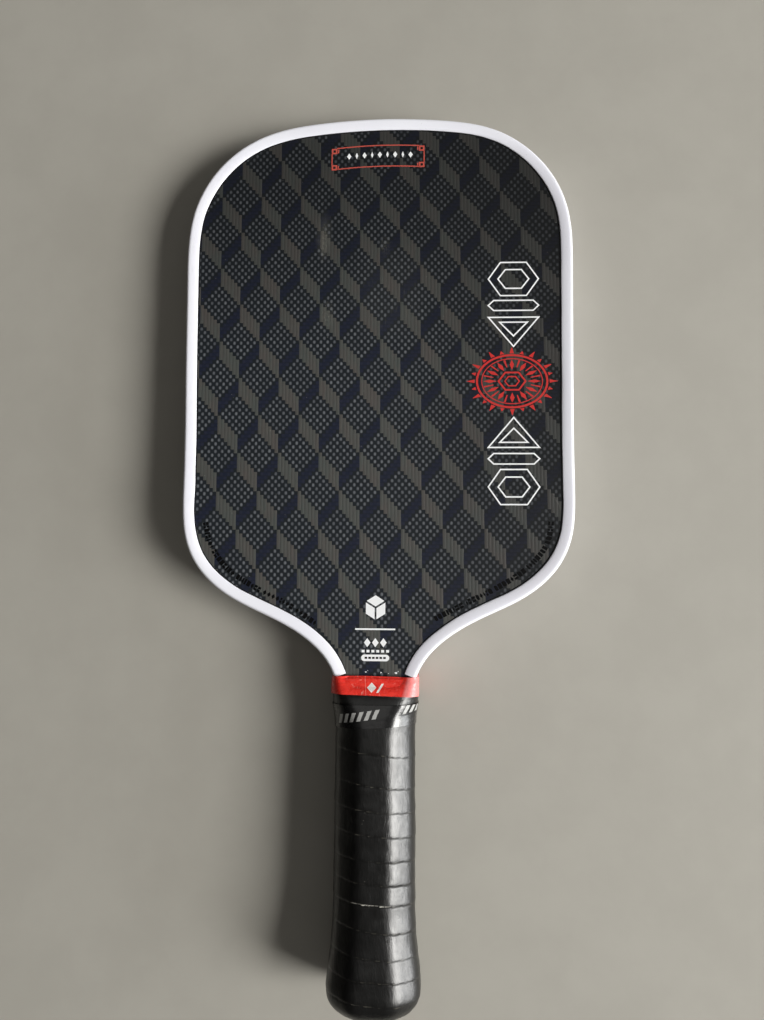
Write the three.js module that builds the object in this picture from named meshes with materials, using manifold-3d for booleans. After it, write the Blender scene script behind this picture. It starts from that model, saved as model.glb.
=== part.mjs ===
// Pickleball paddle, millimetres, +Z up.
// The paddle lies flat: front hitting face towards +Z, top of the head towards +Y,
// butt towards -Y, width along X.
// Origin: centre of the bounding box, which is also the middle of the laminate's thickness.
import * as THREE from 'three';
import { mergeVertices } from 'three/addons/utils/BufferGeometryUtils.js';
import Module from 'manifold-3d';

// ---------------------------------------------------------------- driving dimensions
// Names ending in _Y, _Z and _T are places along Y, heights from the middle plane, and thicknesses.
// Names ending in _INSET are measured inwards from the outer edge of the part they belong to.
const LENGTH = 419.1;
const TOP_Y = LENGTH / 2;
const BUTT_Y = -LENGTH / 2;

// laminate layers as [inner, outer] heights on the front side; the back mirrors them
const BOND = 0.05;
const CORE_Z = 7.2;
const SCRIM_Z = [CORE_Z + BOND, 7.4];
const CARBON_Z = [SCRIM_Z[1] + BOND, 7.75];
const WOVEN_Z = [CARBON_Z[1] + BOND, 8.0];

// edge of the head, as insets from the guard's outer edge
const EDGE_GAP = 0.1;
const GUARD_WEB_INSET = 1.7;
const WRAP_INSET = [GUARD_WEB_INSET + EDGE_GAP, 2.1];
const PLY_INSET = WRAP_INSET[1] + EDGE_GAP;
const FOAM_INSET = [PLY_INSET + EDGE_GAP, 8.2];
const COMB_INSET = 8.5;

const GUARD_LIP_INSET = 5.4;
const GUARD_CROWN_Z = 9.2;
const LIP_SEAT_Z = WOVEN_Z[1] + BOND;
const GUARD_END_Y = -64.5;
const WRAP_Z = 7.95;

// second ring of points on the woven faces, on the head only
const RIM_INSET = GUARD_LIP_INSET + 6;
const RIM_END_Y = -40;

const COMB_END_Y = -55.5;
const COMB_CENTRE_Y = 78;
const CELL_PITCH = 18.5;         // between cell centres; coarser than a real panel's
const CELL_WALL = 1.1;
const NECK_CORE_GAP = 0.4;       // between the honeycomb and the neck's solid core
const TANG_END_Y = -182.0;

// right half of the guard's outer edge as [x, y], from the middle of the top to the tang
const OUTLINE = [
  [0, TOP_Y], [13.7, 209.2], [26.1, 208.3], [38.5, 206.7], [50.8, 203.9], [62.5, 199.1],
  [72.8, 192.0], [81.4, 183.0], [87.8, 172.3], [91.8, 160.6], [93.6, 148.4], [94.0, 136.0],
  [93.8, 123.4], [93.6, 111.1], [93.4, 98.7], [93.2, 86.3], [93.0, 73.9], [92.8, 61.4],
  [92.65, 49.0], [92.55, 36.6], [92.5, 24.2], [92.1, 11.7], [90.2, -0.5], [85.1, -11.8],
  [76.9, -21.0], [66.7, -28.1], [55.6, -33.7], [44.4, -39.1], [33.9, -45.5], [24.9, -53.6],
  [19.6, -62.0], [17.7, -68.0], [15.9, -73.0], [14.5, -78.5], [14.0, -85.0], [14.0, -92.0],
];

// Handle sections are octagons: [y, half width, half depth, bevel width, bevel depth].
// These are the overgrip's outer sections.
const GRIP = [
  [-71.6, 19.95, 14.1, 5.6, 5.0],
  [-76.0, 19.6, 14.7, 7.4, 6.6],
  [-81.0, 18.7, 15.2, 9.0, 7.8],
  [-87.0, 18.4, 15.5, 9.8, 8.4],
  [-134.0, 18.6, 15.7, 9.8, 8.4],
  [-168.0, 18.6, 15.7, 9.8, 8.4],
  [-180.0, 19.15, 16.1, 10.0, 8.6],
  [-190.0, 20.25, 17.0, 10.4, 9.0],
  [-197.0, 21.1, 17.8, 10.8, 9.3],
  [-201.5, 21.3, 18.0, 10.8, 9.3],
  [-205.3, 20.7, 17.5, 10.5, 9.1],
  [-207.9, 19.2, 16.2, 9.8, 8.5],
];
const GRIP_Y = GRIP.map(([y]) => y);
const CORNER_CUT = 1.7;

// handle layers, as insets from the overgrip's outer surface
const FIT = 0.05;
const OVERGRIP_T = 0.6;
const BASE_T = 1.7;
const BASE_OUTER_INSET = OVERGRIP_T + FIT;
const BASE_INNER_INSET = BASE_OUTER_INSET + BASE_T;
const CAP_OUTER_INSET = BASE_INNER_INSET + FIT;
const PALLET_OUTER_INSET = CAP_OUTER_INSET + FIT;

// lengthwise extents, from the neck to the butt
const NECK_TAPE_Y = [-63.4, -71.4];
const BASE_GRIP_TOP_Y = -66.2;
const PALLET_Y = [-72.2, -203.0];
const TAPE_Y = [-75.6, -85.4];
const CAP_Y = [-179.0, -209.0];
const OVERGRIP_END_Y = -209.1;

// ---------------------------------------------------------------- solids from triangles
const wasm = await Module();
wasm.setup();

function toGeometry(position, index) {
  const geometry = new THREE.BufferGeometry();
  geometry.setAttribute('position', new THREE.Float32BufferAttribute(position, 3));
  geometry.setIndex(index);
  geometry.computeVertexNormals();
  return geometry;
}

function signedVolume(position, index) {
  const corner = (i) => new THREE.Vector3().fromArray(position, index[i] * 3);
  let total = 0;
  for (let i = 0; i < index.length; i += 3) {
    total += corner(i).dot(corner(i + 1).cross(corner(i + 2)));
  }
  return total / 6;
}

// closed triangle list to a geometry whose faces point out
function solid(position, index) {
  if (signedVolume(position, index) < 0) {
    for (let i = 0; i < index.length; i += 3) {
      [index[i], index[i + 1]] = [index[i + 1], index[i]];
    }
  }
  return toGeometry(position, index);
}

// joins vertices that share a place; normals and uvs would keep them apart
function weld(geometry, tolerance) {
  geometry.deleteAttribute('normal');
  geometry.deleteAttribute('uv');
  return mergeVertices(geometry, tolerance);
}

function toManifold(geometry) {
  const welded = weld(geometry, 1e-5);
  return new wasm.Manifold(new wasm.Mesh({
    numProp: 3,
    vertProperties: new Float32Array(welded.attributes.position.array),
    triVerts: new Uint32Array(welded.index.array),
  }));
}

function fromManifold(manifold) {
  const mesh = manifold.getMesh();
  return toGeometry(mesh.vertProperties, Array.from(mesh.triVerts));
}

// ---------------------------------------------------------------- outer edge
// Stations {point, inward} on the right half: a position and its inward normal.
// A new station starts where the edge has turned or run far enough since the last one.
function rightHalfStations() {
  const SAMPLES = 4000;
  const TANGENT_REACH = 12;      // samples to either side
  const MAX_TURN = 0.115;        // radians
  const MAX_RUN = 21;
  const curve = new THREE.SplineCurve(OUTLINE.map(([x, y]) => new THREE.Vector2(x, y)));
  const points = curve.getSpacedPoints(SAMPLES);

  // near the middle of the top the tangent is set, so that it starts level
  const tangentAt = (i) => {
    if (i < TANGENT_REACH) return new THREE.Vector2(1, -0.001 * i).normalize();
    const ahead = points[Math.min(SAMPLES, i + TANGENT_REACH)];
    return ahead.clone().sub(points[i - TANGENT_REACH]).normalize();
  };

  const list = [];
  let last = 0;
  let turned = 0;
  let previous = tangentAt(0);
  points.forEach((point, i) => {
    const tangent = tangentAt(i);
    turned += Math.abs(Math.atan2(previous.cross(tangent), previous.dot(tangent)));
    previous = tangent;
    const run = point.distanceTo(points[last]);
    if (i === 0 || i === SAMPLES || turned > MAX_TURN || run > MAX_RUN) {
      list.push({ point: point.clone(), inward: new THREE.Vector2(tangent.y, -tangent.x) });
      last = i;
      turned = 0;
    }
  });
  return list;
}

const mirrorX = ({ x, y }) => new THREE.Vector2(-x, y);
const rightStations = rightHalfStations();
const leftStations = rightStations.slice(1).reverse()
  .map(({ point, inward }) => ({ point: mirrorX(point), inward: mirrorX(inward) }));
// from the left end over the top to the right end
const stations = [...leftStations, ...rightStations];

// how far along from `start` to `end` a line crosses the height y
const crossing = (start, end, y) => (start.y - y) / (start.y - end.y);

// the stations above y, with an exact station on it at both ends
function stationsAbove(y) {
  const MIN_STEP = 0.4;
  const kept = stations.filter(({ point }) => point.y > y + MIN_STEP);
  const cut = (above, below) => {
    const along = crossing(above.point, below.point, y);
    return {
      point: above.point.clone().lerp(below.point, along),
      inward: above.inward.clone().lerp(below.inward, along).normalize(),
    };
  };
  const first = stations.indexOf(kept[0]);
  const last = stations.indexOf(kept.at(-1));
  return [
    cut(kept[0], stations[first - 1]),
    ...kept,
    cut(kept.at(-1), stations[last + 1]),
  ];
}

const offset = (list, inset) => list.map(({ point, inward }) => (
  point.clone().addScaledVector(inward, inset)));

// counterclockwise outline of the blank, with its tang
function blankOutline(inset, endY) {
  const points = offset(stations, inset);
  const tangX = points.at(-1).x;
  return [new THREE.Vector2(-tangX, endY), ...points, new THREE.Vector2(tangX, endY)].reverse();
}

// ---------------------------------------------------------------- shape builders
// flat sheet between two heights, from a counterclockwise outline;
// with `rim`, its two faces have a second ring of points inside the edge
function sheet(outline, [bottomZ, topZ], rim) {
  const count = outline.length;
  const holes = rim ? [rim] : [];
  const position = [];
  const index = [];
  const addRing = (points, z) => {
    const start = position.length / 3;
    points.forEach(({ x, y }) => position.push(x, y, z));
    return start;
  };
  const bottom = addRing(outline, bottomZ);
  const top = addRing(outline, topZ);
  for (let i = 0; i < count; i++) {
    const j = (i + 1) % count;
    index.push(bottom + i, bottom + j, top + j, bottom + i, top + j, top + i);
  }
  const addFace = (start, z, isTop) => {
    const put = ([a, b, c]) => (isTop ? index.push(a, b, c) : index.push(a, c, b));
    const rimStart = rim ? addRing(rim, z) : 0;
    const pick = (k) => (k < count ? start + k : rimStart + k - count);
    for (const triangle of THREE.ShapeUtils.triangulateShape(outline, holes)) {
      put(triangle.map(pick));
    }
    for (const hole of holes) {
      for (const triangle of THREE.ShapeUtils.triangulateShape(hole, [])) {
        put(triangle.map((k) => rimStart + k));
      }
    }
  };
  addFace(top, topZ, true);
  addFace(bottom, bottomZ, false);
  return solid(position, index);
}

// closed profile of [inset, z] points swept along the stations, with flat ends
function sweep(list, profile) {
  const count = profile.length;
  const position = [];
  const index = [];
  for (const { point, inward } of list) {
    for (const [inset, z] of profile) {
      position.push(point.x + inward.x * inset, point.y + inward.y * inset, z);
    }
  }
  for (let i = 0; i + 1 < list.length; i++) {
    for (let j = 0; j < count; j++) {
      const a = i * count + j;
      const b = i * count + (j + 1) % count;
      index.push(a, b, b + count, a, b + count, a + count);
    }
  }
  const flat = profile.map(([inset, z]) => new THREE.Vector2(inset, z));
  const end = (list.length - 1) * count;
  for (const [a, b, c] of THREE.ShapeUtils.triangulateShape(flat, [])) {
    index.push(a, c, b, end + a, end + b, end + c);
  }
  return solid(position, index);
}

const stripProfile = ([outer, inner], z) => [[outer, -z], [inner, -z], [inner, z], [outer, z]];

// octagon in the XZ plane with its corners cut: 16 points
function section([y, halfWidth, halfDepth, bevelWidth, bevelDepth]) {
  const flatX = halfWidth - bevelWidth;
  const flatZ = halfDepth - bevelDepth;
  const corners = [
    [halfWidth, flatZ], [flatX, halfDepth], [-flatX, halfDepth], [-halfWidth, flatZ],
    [-halfWidth, -flatZ], [-flatX, -halfDepth], [flatX, -halfDepth], [halfWidth, -flatZ],
  ].map(([x, z]) => new THREE.Vector2(x, z));
  return corners.flatMap((corner, i) => (
    [corners.at(i - 1), corners[(i + 1) % corners.length]].map((neighbour) => {
      const side = neighbour.clone().sub(corner);
      const cut = Math.min(CORNER_CUT, side.length() * 0.35);
      const point = corner.clone().add(side.setLength(cut));
      return [point.x, y, point.y];
    })
  ));
}

// triangles joining ring number `from` to ring number `to`
function joinRings(index, count, from, to) {
  for (let i = 0; i < count; i++) {
    const j = (i + 1) % count;
    const [a, b, c, d] = [from * count + i, from * count + j, to * count + j, to * count + i];
    index.push(a, b, c, a, c, d);
  }
}

function joinInOrder(rings) {
  const index = [];
  for (let i = 0; i + 1 < rings.length; i++) joinRings(index, rings[0].length, i, i + 1);
  return index;
}

// rings joined in order, both ends closed by a fan
function plug(rings) {
  const count = rings[0].length;
  const position = rings.flat(2);
  const index = joinInOrder(rings);
  for (const ring of [0, rings.length - 1]) {
    const middle = position.length / 3;
    const start = ring * count;
    for (const axis of [0, 1, 2]) {
      position.push(rings[ring].reduce((sum, point) => sum + point[axis], 0) / count);
    }
    for (let i = 0; i < count; i++) {
      const a = start + i;
      const b = start + (i + 1) % count;
      index.push(...(ring === 0 ? [b, a] : [a, b]), middle);
    }
  }
  return solid(position, index);
}

// open-ended wall between outer and inner rings
function sleeve(outer, inner) {
  const rings = [...outer, ...inner.toReversed()];
  const index = joinInOrder(rings);
  joinRings(index, rings[0].length, rings.length - 1, 0);
  return solid(rings.flat(2), index);
}

// section of the grip at y, interpolated between rows; the bevels shrink with the inset
function gripRing(y, inset = 0) {
  const INSET_SHARE = [0, 1, 1, 0.6, 0.57];    // per section column
  let row = 0;
  while (row + 2 < GRIP.length && GRIP_Y[row + 1] > y) row++;
  const [above, below] = [GRIP[row], GRIP[row + 1]];
  const along = (above[0] - y) / (above[0] - below[0]);
  const sizes = above.map((size, i) => (
    size + (below[i] - size) * along - inset * INSET_SHARE[i]));
  return section([y, ...sizes.slice(1)]);
}

const gripRings = (ys, inset) => ys.map((y) => gripRing(y, inset));
const gripYBetween = (topY, bottomY) => GRIP_Y.filter((y) => y < topY && y > bottomY);

// ---------------------------------------------------------------- head
function isInside({ x, y }, polygon) {
  let inside = false;
  polygon.forEach((a, i) => {
    const b = polygon.at(i - 1);
    if ((a.y > y) !== (b.y > y) && x < ((b.x - a.x) * (y - a.y)) / (b.y - a.y) + a.x) {
      inside = !inside;
    }
  });
  return inside;
}

function distanceToEdge(point, polygon) {
  return Math.min(...polygon.map((end, i) => {
    const start = polygon.at(i - 1);
    const side = end.clone().sub(start);
    const reach = point.clone().sub(start);
    const along = THREE.MathUtils.clamp(reach.dot(side) / side.lengthSq(), 0, 1);
    return reach.addScaledVector(side, -along).length();
  }));
}

// panel with hexagonal cells through its thickness, wherever a whole cell fits
function honeycombCore() {
  const edge = offset(stationsAbove(COMB_END_Y), COMB_INSET);
  const shape = new THREE.Shape(edge);
  const cellRadius = (CELL_PITCH - CELL_WALL) / Math.sqrt(3);
  const rowPitch = CELL_PITCH * Math.sqrt(3) / 2;
  const fits = (point) => isInside(point, edge) && distanceToEdge(point, edge) > CELL_WALL;
  for (let row = -12; row <= 12; row++) {
    for (let column = -7; column <= 7; column++) {
      const centreX = (column + (row % 2 ? 0.5 : 0)) * CELL_PITCH;
      const centreY = COMB_CENTRE_Y + row * rowPitch;
      const cell = Array.from({ length: 6 }, (_, k) => {
        const angle = Math.PI / 6 + k * Math.PI / 3;
        return new THREE.Vector2(
          centreX + cellRadius * Math.cos(angle),
          centreY + cellRadius * Math.sin(angle),
        );
      });
      if (cell.every(fits)) shape.holes.push(new THREE.Path(cell));
    }
  }
  const panel = new THREE.ExtrudeGeometry(shape, { depth: 2 * CORE_Z, bevelEnabled: false });
  panel.translate(0, 0, -CORE_Z);
  const welded = weld(panel, 1e-4);
  welded.computeVertexNormals();
  return welded;
}

function perimeterFoam() {
  return sweep(stationsAbove(COMB_END_Y), stripProfile(FOAM_INSET, CORE_Z));
}

// solid core of the neck and tang
function handleCore() {
  const side = offset(rightStations, FOAM_INSET[0]);
  const topY = COMB_END_Y - NECK_CORE_GAP;
  const below = side.findIndex(({ y }) => y < topY);
  const [start, end] = [side[below - 1], side[below]];
  const right = [
    start.clone().lerp(end, crossing(start, end, topY)),
    ...side.slice(below),
    new THREE.Vector2(side.at(-1).x, TANG_END_Y),
  ];
  const outline = [...right.map(mirrorX), ...right.toReversed()];
  return sheet(outline, [-CORE_Z, CORE_Z]);
}

// thin carbon strip around the laminate's edge
function edgeWrap() {
  return sweep(stationsAbove(GUARD_END_Y), stripProfile(WRAP_INSET, WRAP_Z));
}

// U-channel: domed lips and a rounded web
function edgeGuard() {
  // front half as [inset, z], from the lip's seat over the crown to the outer edge
  const front = [
    [GUARD_LIP_INSET, LIP_SEAT_Z], [GUARD_LIP_INSET, 8.55], [GUARD_LIP_INSET - 0.55, 8.98],
    [3.2, GUARD_CROWN_Z], [1.55, 8.85], [0.55, 7.75], [0.0, 5.6],
  ];
  const back = front.map(([inset, z]) => [inset, -z]).reverse();
  const web = [[GUARD_WEB_INSET, -LIP_SEAT_Z], [GUARD_WEB_INSET, LIP_SEAT_Z]];
  return sweep(stationsAbove(GUARD_END_Y), [...front, ...back, ...web]);
}

// ---------------------------------------------------------------- handle
// octagon sizes without y: the pallets' narrow end and the socket of the butt cap around it
const SPIGOT = [15.0, 12.1, 7.9, 6.7];
const SOCKET = [SPIGOT[0] + FIT, SPIGOT[1] + FIT, ...SPIGOT.slice(2)];
const RECESS_DEPTH = 1.2;

// front and back foam pallets, each cut to clasp the tang
function handlePallets() {
  const stepY = CAP_Y[0] + 0.8;
  const ys = [PALLET_Y[0], ...gripYBetween(PALLET_Y[0], stepY), stepY];
  const body = toManifold(plug([
    ...gripRings(ys, PALLET_OUTER_INSET),
    section([CAP_Y[0] + 0.7, ...SPIGOT]),
    section([PALLET_Y[1], ...SPIGOT]),
  ]));
  // the blank with clearance all round
  const slot = toManifold(sheet(blankOutline(PLY_INSET - 0.15, TANG_END_Y - 0.3), [-8.1, 8.1]));
  const slotted = body.subtract(slot);
  // each pallet stops short of the middle plane
  const [nearZ, farZ] = [0.1, 30];
  return [1, -1].map((sign) => {
    const box = new THREE.BoxGeometry(60, 170, farZ - nearZ);
    box.translate(0, -140, sign * (nearZ + farZ) / 2);
    return fromManifold(slotted.intersect(toManifold(box)));
  });
}

// sleeve over the pallets, flare, closed end with a shallow recess
function buttCap() {
  const [topY, endY] = CAP_Y;
  const recess = [11.4, 8.9, 5.6, 4.6];
  return plug([
    section([PALLET_Y[1] - 0.4, ...SOCKET]),
    section([topY, ...SOCKET]),
    section([topY, 16.35, 13.35, 8.3, 7.0]),
    ...gripRings(gripYBetween(-180, -207.3), CAP_OUTER_INSET),
    section([-207.3, 18.1, 15.1, 9.0, 7.8]),
    section([-208.5, 17.2, 14.2, 8.6, 7.4]),
    section([endY, 15.8, 12.8, 8.0, 6.8]),
    section([endY, ...recess]),
    section([endY + RECESS_DEPTH, ...recess]),
  ]);
}

// disc in the butt cap's recess
function buttCapPlug() {
  const ys = [CAP_Y[1] + RECESS_DEPTH - FIT, BUTT_Y];
  return plug(ys.map((y) => section([y, 11.3, 8.8, 5.55, 4.55])));
}

// cushioned wrap from the neck to the flare
function baseGrip() {
  const neck = [
    [BASE_GRIP_TOP_Y, 19.2, 10.5, 3.0, 2.9],
    [GRIP_Y[0], 19.2, 13.2, 5.2, 4.6],
  ];
  const neckInner = neck.map(([y, halfWidth, halfDepth, bevelWidth, bevelDepth]) => (
    [y, halfWidth - BASE_T, halfDepth - BASE_T + 0.2, bevelWidth - 1, bevelDepth - 1]));
  const ys = GRIP_Y.slice(1, -1);
  return sleeve(
    [...neck.map(section), ...gripRings(ys, BASE_OUTER_INSET)],
    [...neckInner.map(section), ...gripRings(ys, BASE_INNER_INSET)],
  );
}

// printed vinyl around the neck, over the guard's ends and the base grip's top
function neckTape() {
  const thickness = 0.7;
  const outer = [
    [NECK_TAPE_Y[0], 20.2, 10.5, 3.2, 3.0],
    [BASE_GRIP_TOP_Y, 20.25, 11.7, 4.0, 3.7],
    [NECK_TAPE_Y[1], 20.2, 14.1, 5.7, 5.1],
  ];
  const shrink = [0, thickness, thickness, 0.4, 0.4];
  const inner = outer.map((row) => row.map((size, i) => size - shrink[i]));
  return sleeve(outer.map(section), inner.map(section));
}

// thin wrap over the base grip, drawn in around the flare's rim
function overgrip() {
  return sleeve(
    [...gripRings(GRIP_Y, 0), section([OVERGRIP_END_Y, 17.6, 14.6, 9.0, 7.8])],
    [...gripRings(GRIP_Y, OVERGRIP_T), section([OVERGRIP_END_Y, 17.25, 14.25, 8.8, 7.6])],
  );
}

// band around the top of the overgrip
function overgripTape() {
  const thickness = 0.28;
  const gap = 0.1;
  const ys = [TAPE_Y[0], ...gripYBetween(...TAPE_Y), TAPE_Y[1]];
  return sleeve(gripRings(ys, -(thickness + gap)), gripRings(ys, -gap));
}

// ---------------------------------------------------------------- assembly
const paddle = new THREE.Group();

function add(name, geometry, { color, roughness }) {
  const mesh = new THREE.Mesh(geometry, new THREE.MeshStandardMaterial({ color, roughness }));
  mesh.name = name;
  paddle.add(mesh);
}

function addFaceLayers() {
  const outline = blankOutline(PLY_INSET, TANG_END_Y);
  const rim = offset(stationsAbove(RIM_END_Y), RIM_INSET).reverse();
  for (const side of ['front', 'back']) {
    const heights = ([inner, outer]) => (side === 'front' ? [inner, outer] : [-outer, -inner]);
    const addLayer = (name, layerZ, finish, ring) => (
      add(`${name}_${side}`, sheet(outline, heights(layerZ), ring), finish));
    addLayer('core_scrim', SCRIM_Z, { color: 0xb9b59a, roughness: 0.8 });
    addLayer('carbon_ply', CARBON_Z, { color: 0x17181a, roughness: 0.5 });
    addLayer('woven_face', WOVEN_Z, { color: 0x24272c, roughness: 0.55 }, rim);
  }
}

add('honeycomb_core', honeycombCore(), { color: 0xd8dcdc, roughness: 0.6 });
add('perimeter_foam', perimeterFoam(), { color: 0xe6c98a, roughness: 0.9 });
add('handle_core', handleCore(), { color: 0xcfd6c4, roughness: 0.9 });
addFaceLayers();
add('edge_wrap', edgeWrap(), { color: 0x151617, roughness: 0.5 });
add('edge_guard', edgeGuard(), { color: 0xe6e6f2, roughness: 0.35 });

const [frontPallet, backPallet] = handlePallets();
add('handle_pallet_front', frontPallet, { color: 0xd9b46a, roughness: 0.9 });
add('handle_pallet_back', backPallet, { color: 0xd9b46a, roughness: 0.9 });
add('butt_cap', buttCap(), { color: 0x1a1a1b, roughness: 0.5 });
add('butt_cap_plug', buttCapPlug(), { color: 0x8f1d1f, roughness: 0.4 });
add('base_grip', baseGrip(), { color: 0x2a2a2b, roughness: 0.8 });
add('neck_tape', neckTape(), { color: 0xd61f1d, roughness: 0.25 });
add('overgrip', overgrip(), { color: 0x1b1b1c, roughness: 0.45 });
add('overgrip_tape', overgripTape(), { color: 0x101011, roughness: 0.15 });

export default paddle;
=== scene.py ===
"""A paddle with woven faces, a moulded edge guard and a wrapped handle, on a pale floor.

In its own frame x runs across the face, y from the butt (-y) to the top edge (+y), and z
out of the front face. Sizes are in millimetres unless a comment says otherwise.
"""
import math
import bmesh
import bpy
import numpy as np
from mathutils import Matrix, Vector
from mathutils.geometry import tessellate_polygon

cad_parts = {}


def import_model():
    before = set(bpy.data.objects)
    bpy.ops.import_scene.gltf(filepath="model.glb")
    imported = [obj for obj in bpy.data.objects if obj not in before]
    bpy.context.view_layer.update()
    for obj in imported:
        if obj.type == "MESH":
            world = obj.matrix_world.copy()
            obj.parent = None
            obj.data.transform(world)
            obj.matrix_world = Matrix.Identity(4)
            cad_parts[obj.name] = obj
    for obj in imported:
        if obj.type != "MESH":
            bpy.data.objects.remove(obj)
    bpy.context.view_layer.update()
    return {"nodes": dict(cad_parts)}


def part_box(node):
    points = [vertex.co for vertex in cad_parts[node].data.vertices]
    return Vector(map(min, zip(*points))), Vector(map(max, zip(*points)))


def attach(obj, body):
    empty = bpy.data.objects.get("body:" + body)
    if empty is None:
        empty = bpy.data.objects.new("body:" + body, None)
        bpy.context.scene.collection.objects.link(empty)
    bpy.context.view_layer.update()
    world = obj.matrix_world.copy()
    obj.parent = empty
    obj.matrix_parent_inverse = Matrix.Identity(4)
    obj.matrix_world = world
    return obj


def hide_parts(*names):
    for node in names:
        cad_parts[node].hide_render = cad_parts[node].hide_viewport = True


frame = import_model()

MM = 0.001


# ---------------------------------------------------------------- driving sizes
def box_mm(node):
    low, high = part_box(node)
    return np.array(low) * 1000, np.array(high) * 1000


guard_high = box_mm("edge_guard")[1]
face_low, face_high = box_mm("woven_face_front")
FACE_Z = face_high[2]
SHEET_THICK = face_high[2] - face_low[2]
TOP_Y = guard_high[1]
HALF_WIDTH = guard_high[0]
PRINT_LOW, PRINT_HIGH = FACE_Z + 0.004, FACE_Z + 0.03     # printed marks on the front face

# Right half of the guard's outer edge, from the top centre to the tang at the throat: x, y
OUTLINE = np.array([
    [0, 209.55], [13.7, 209.2], [26.1, 208.3], [38.5, 206.7], [50.8, 203.9], [62.5, 199.1],
    [72.8, 192.0], [81.4, 183.0], [87.8, 172.3], [91.8, 160.6], [93.6, 148.4], [94.0, 136.0],
    [93.8, 123.4], [93.6, 111.1], [93.4, 98.7], [93.2, 86.3], [93.0, 73.9], [92.8, 61.4],
    [92.65, 49.0], [92.55, 36.6], [92.5, 24.2], [92.1, 11.7], [90.2, -0.5], [85.1, -11.8],
    [76.9, -21.0], [66.7, -28.1], [55.6, -33.7], [44.4, -39.1], [33.9, -45.5], [24.9, -53.6],
    [19.6, -62.0], [17.7, -68.0], [15.9, -73.0], [14.5, -78.5], [14.0, -85.0], [14.0, -92.0],
], float)
DRAWN_HALF_WIDTH = 93.993       # the table is drawn at this half width, then fitted
OUTLINE[:, 0] *= HALF_WIDTH / DRAWN_HALF_WIDTH
OUTLINE[:, 1] += TOP_Y - OUTLINE[0, 1]
PATH_STEP = 0.5

# Sections of the wrapped handle: y, half width (x), half depth (z), bevel cut along x, along z
GRIP = np.array([
    [-69.4, 19.5, 12.7, 4.6, 4.1], [-71.6, 19.95, 14.1, 5.66, 5], [-76, 19.6, 14.7, 7.9, 6.6],
    [-81, 18.7, 15.2, 10, 7.8], [-87, 18.4, 15.5, 11.2, 8.4], [-134, 18.6, 15.7, 11.2, 8.4],
    [-168, 18.6, 15.7, 11.2, 8.4], [-180, 19.15, 16.1, 11.3, 8.6], [-190, 20.25, 17, 11.4, 9],
    [-197, 21.1, 17.8, 11.5, 9.3], [-201.5, 21.3, 18, 11.5, 9.3], [-205.3, 20.7, 17.5, 11.1, 9.1],
    [-207.9, 19.2, 16.2, 10.3, 8.5], [-209.2, 17.5, 14.5, 9.4, 7.8],
], float)
GRIP_RADIUS = 7.6               # corner radius of the padded octagon


# ---------------------------------------------------------------- curves and noise
def smooth_rows(values, sigma, step):
    """Gaussian smoothing of rows sampled at a fixed step, with mirrored ends."""
    reach = int(4 * sigma / step) + 1
    offsets = np.arange(-reach, reach + 1) * step
    weights = np.exp(-0.5 * (offsets / sigma) ** 2)
    weights /= weights.sum()
    columns = np.asarray(values, float).reshape(len(values), -1)
    padded = np.pad(columns, ((reach, reach), (0, 0)), mode="reflect", reflect_type="odd")
    smoothed = [np.convolve(column, weights, "valid") for column in padded.T]
    return np.stack(smoothed, 1).reshape(np.shape(values))


def arc_length(points):
    return np.r_[0, np.cumsum(np.hypot(*np.diff(points, axis=0).T))]


def along(points, distance):
    """Points at the given distances along a polyline."""
    lengths = arc_length(points)
    return np.stack([np.interp(distance, lengths, points[:, i]) for i in (0, 1)], -1)


def catmull(points, before, per):
    """Catmull-Rom curve, per samples a span; before is the control point ahead of the first."""
    control = np.r_[[before], points, [2 * points[-1] - points[-2]]]
    t = np.linspace(0, 1, per, endpoint=False)[:, None]
    spans = []
    for i in range(1, len(control) - 2):
        prior, start, end, after = control[i - 1:i + 3]
        spans.append(0.5 * (2 * start + (end - prior) * t
                            + (2 * prior - 5 * start + 4 * end - after) * t ** 2
                            + (3 * start - prior - 3 * end + after) * t ** 3))
    return np.r_[np.concatenate(spans), control[-2:-1]]


def edge_path():
    """The guard's outer edge from the left tang over the top to the right, with inward normals."""
    half = catmull(OUTLINE, OUTLINE[1] * [-1, 1], per=24)
    length = arc_length(half)[-1]
    count = max(2, int(round(length / PATH_STEP)) + 1)
    half = along(half, np.linspace(0, length, count))
    path = np.r_[(half * [-1, 1])[:0:-1], half]
    once = smooth_rows(path, 5.0, PATH_STEP)
    path = 2 * once - smooth_rows(once, 5.0, PATH_STEP)     # smooth without shrinking
    path = (path + (path * [-1, 1])[::-1]) / 2
    tangent = np.gradient(path, axis=0)
    tangent /= np.hypot(*tangent.T)[:, None]
    return path, np.c_[tangent[:, 1], -tangent[:, 0]]


PATH, NORMAL = edge_path()


def path_above(y, step):
    """Every step-th point of the edge above y, always with the last: points, normals, indices."""
    inside = np.where(PATH[:, 1] > y)[0]
    picked = inside[::step]
    if (len(inside) - 1) % step:
        picked = np.r_[picked, inside[-1]]
    return PATH[picked], NORMAL[picked], picked


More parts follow.
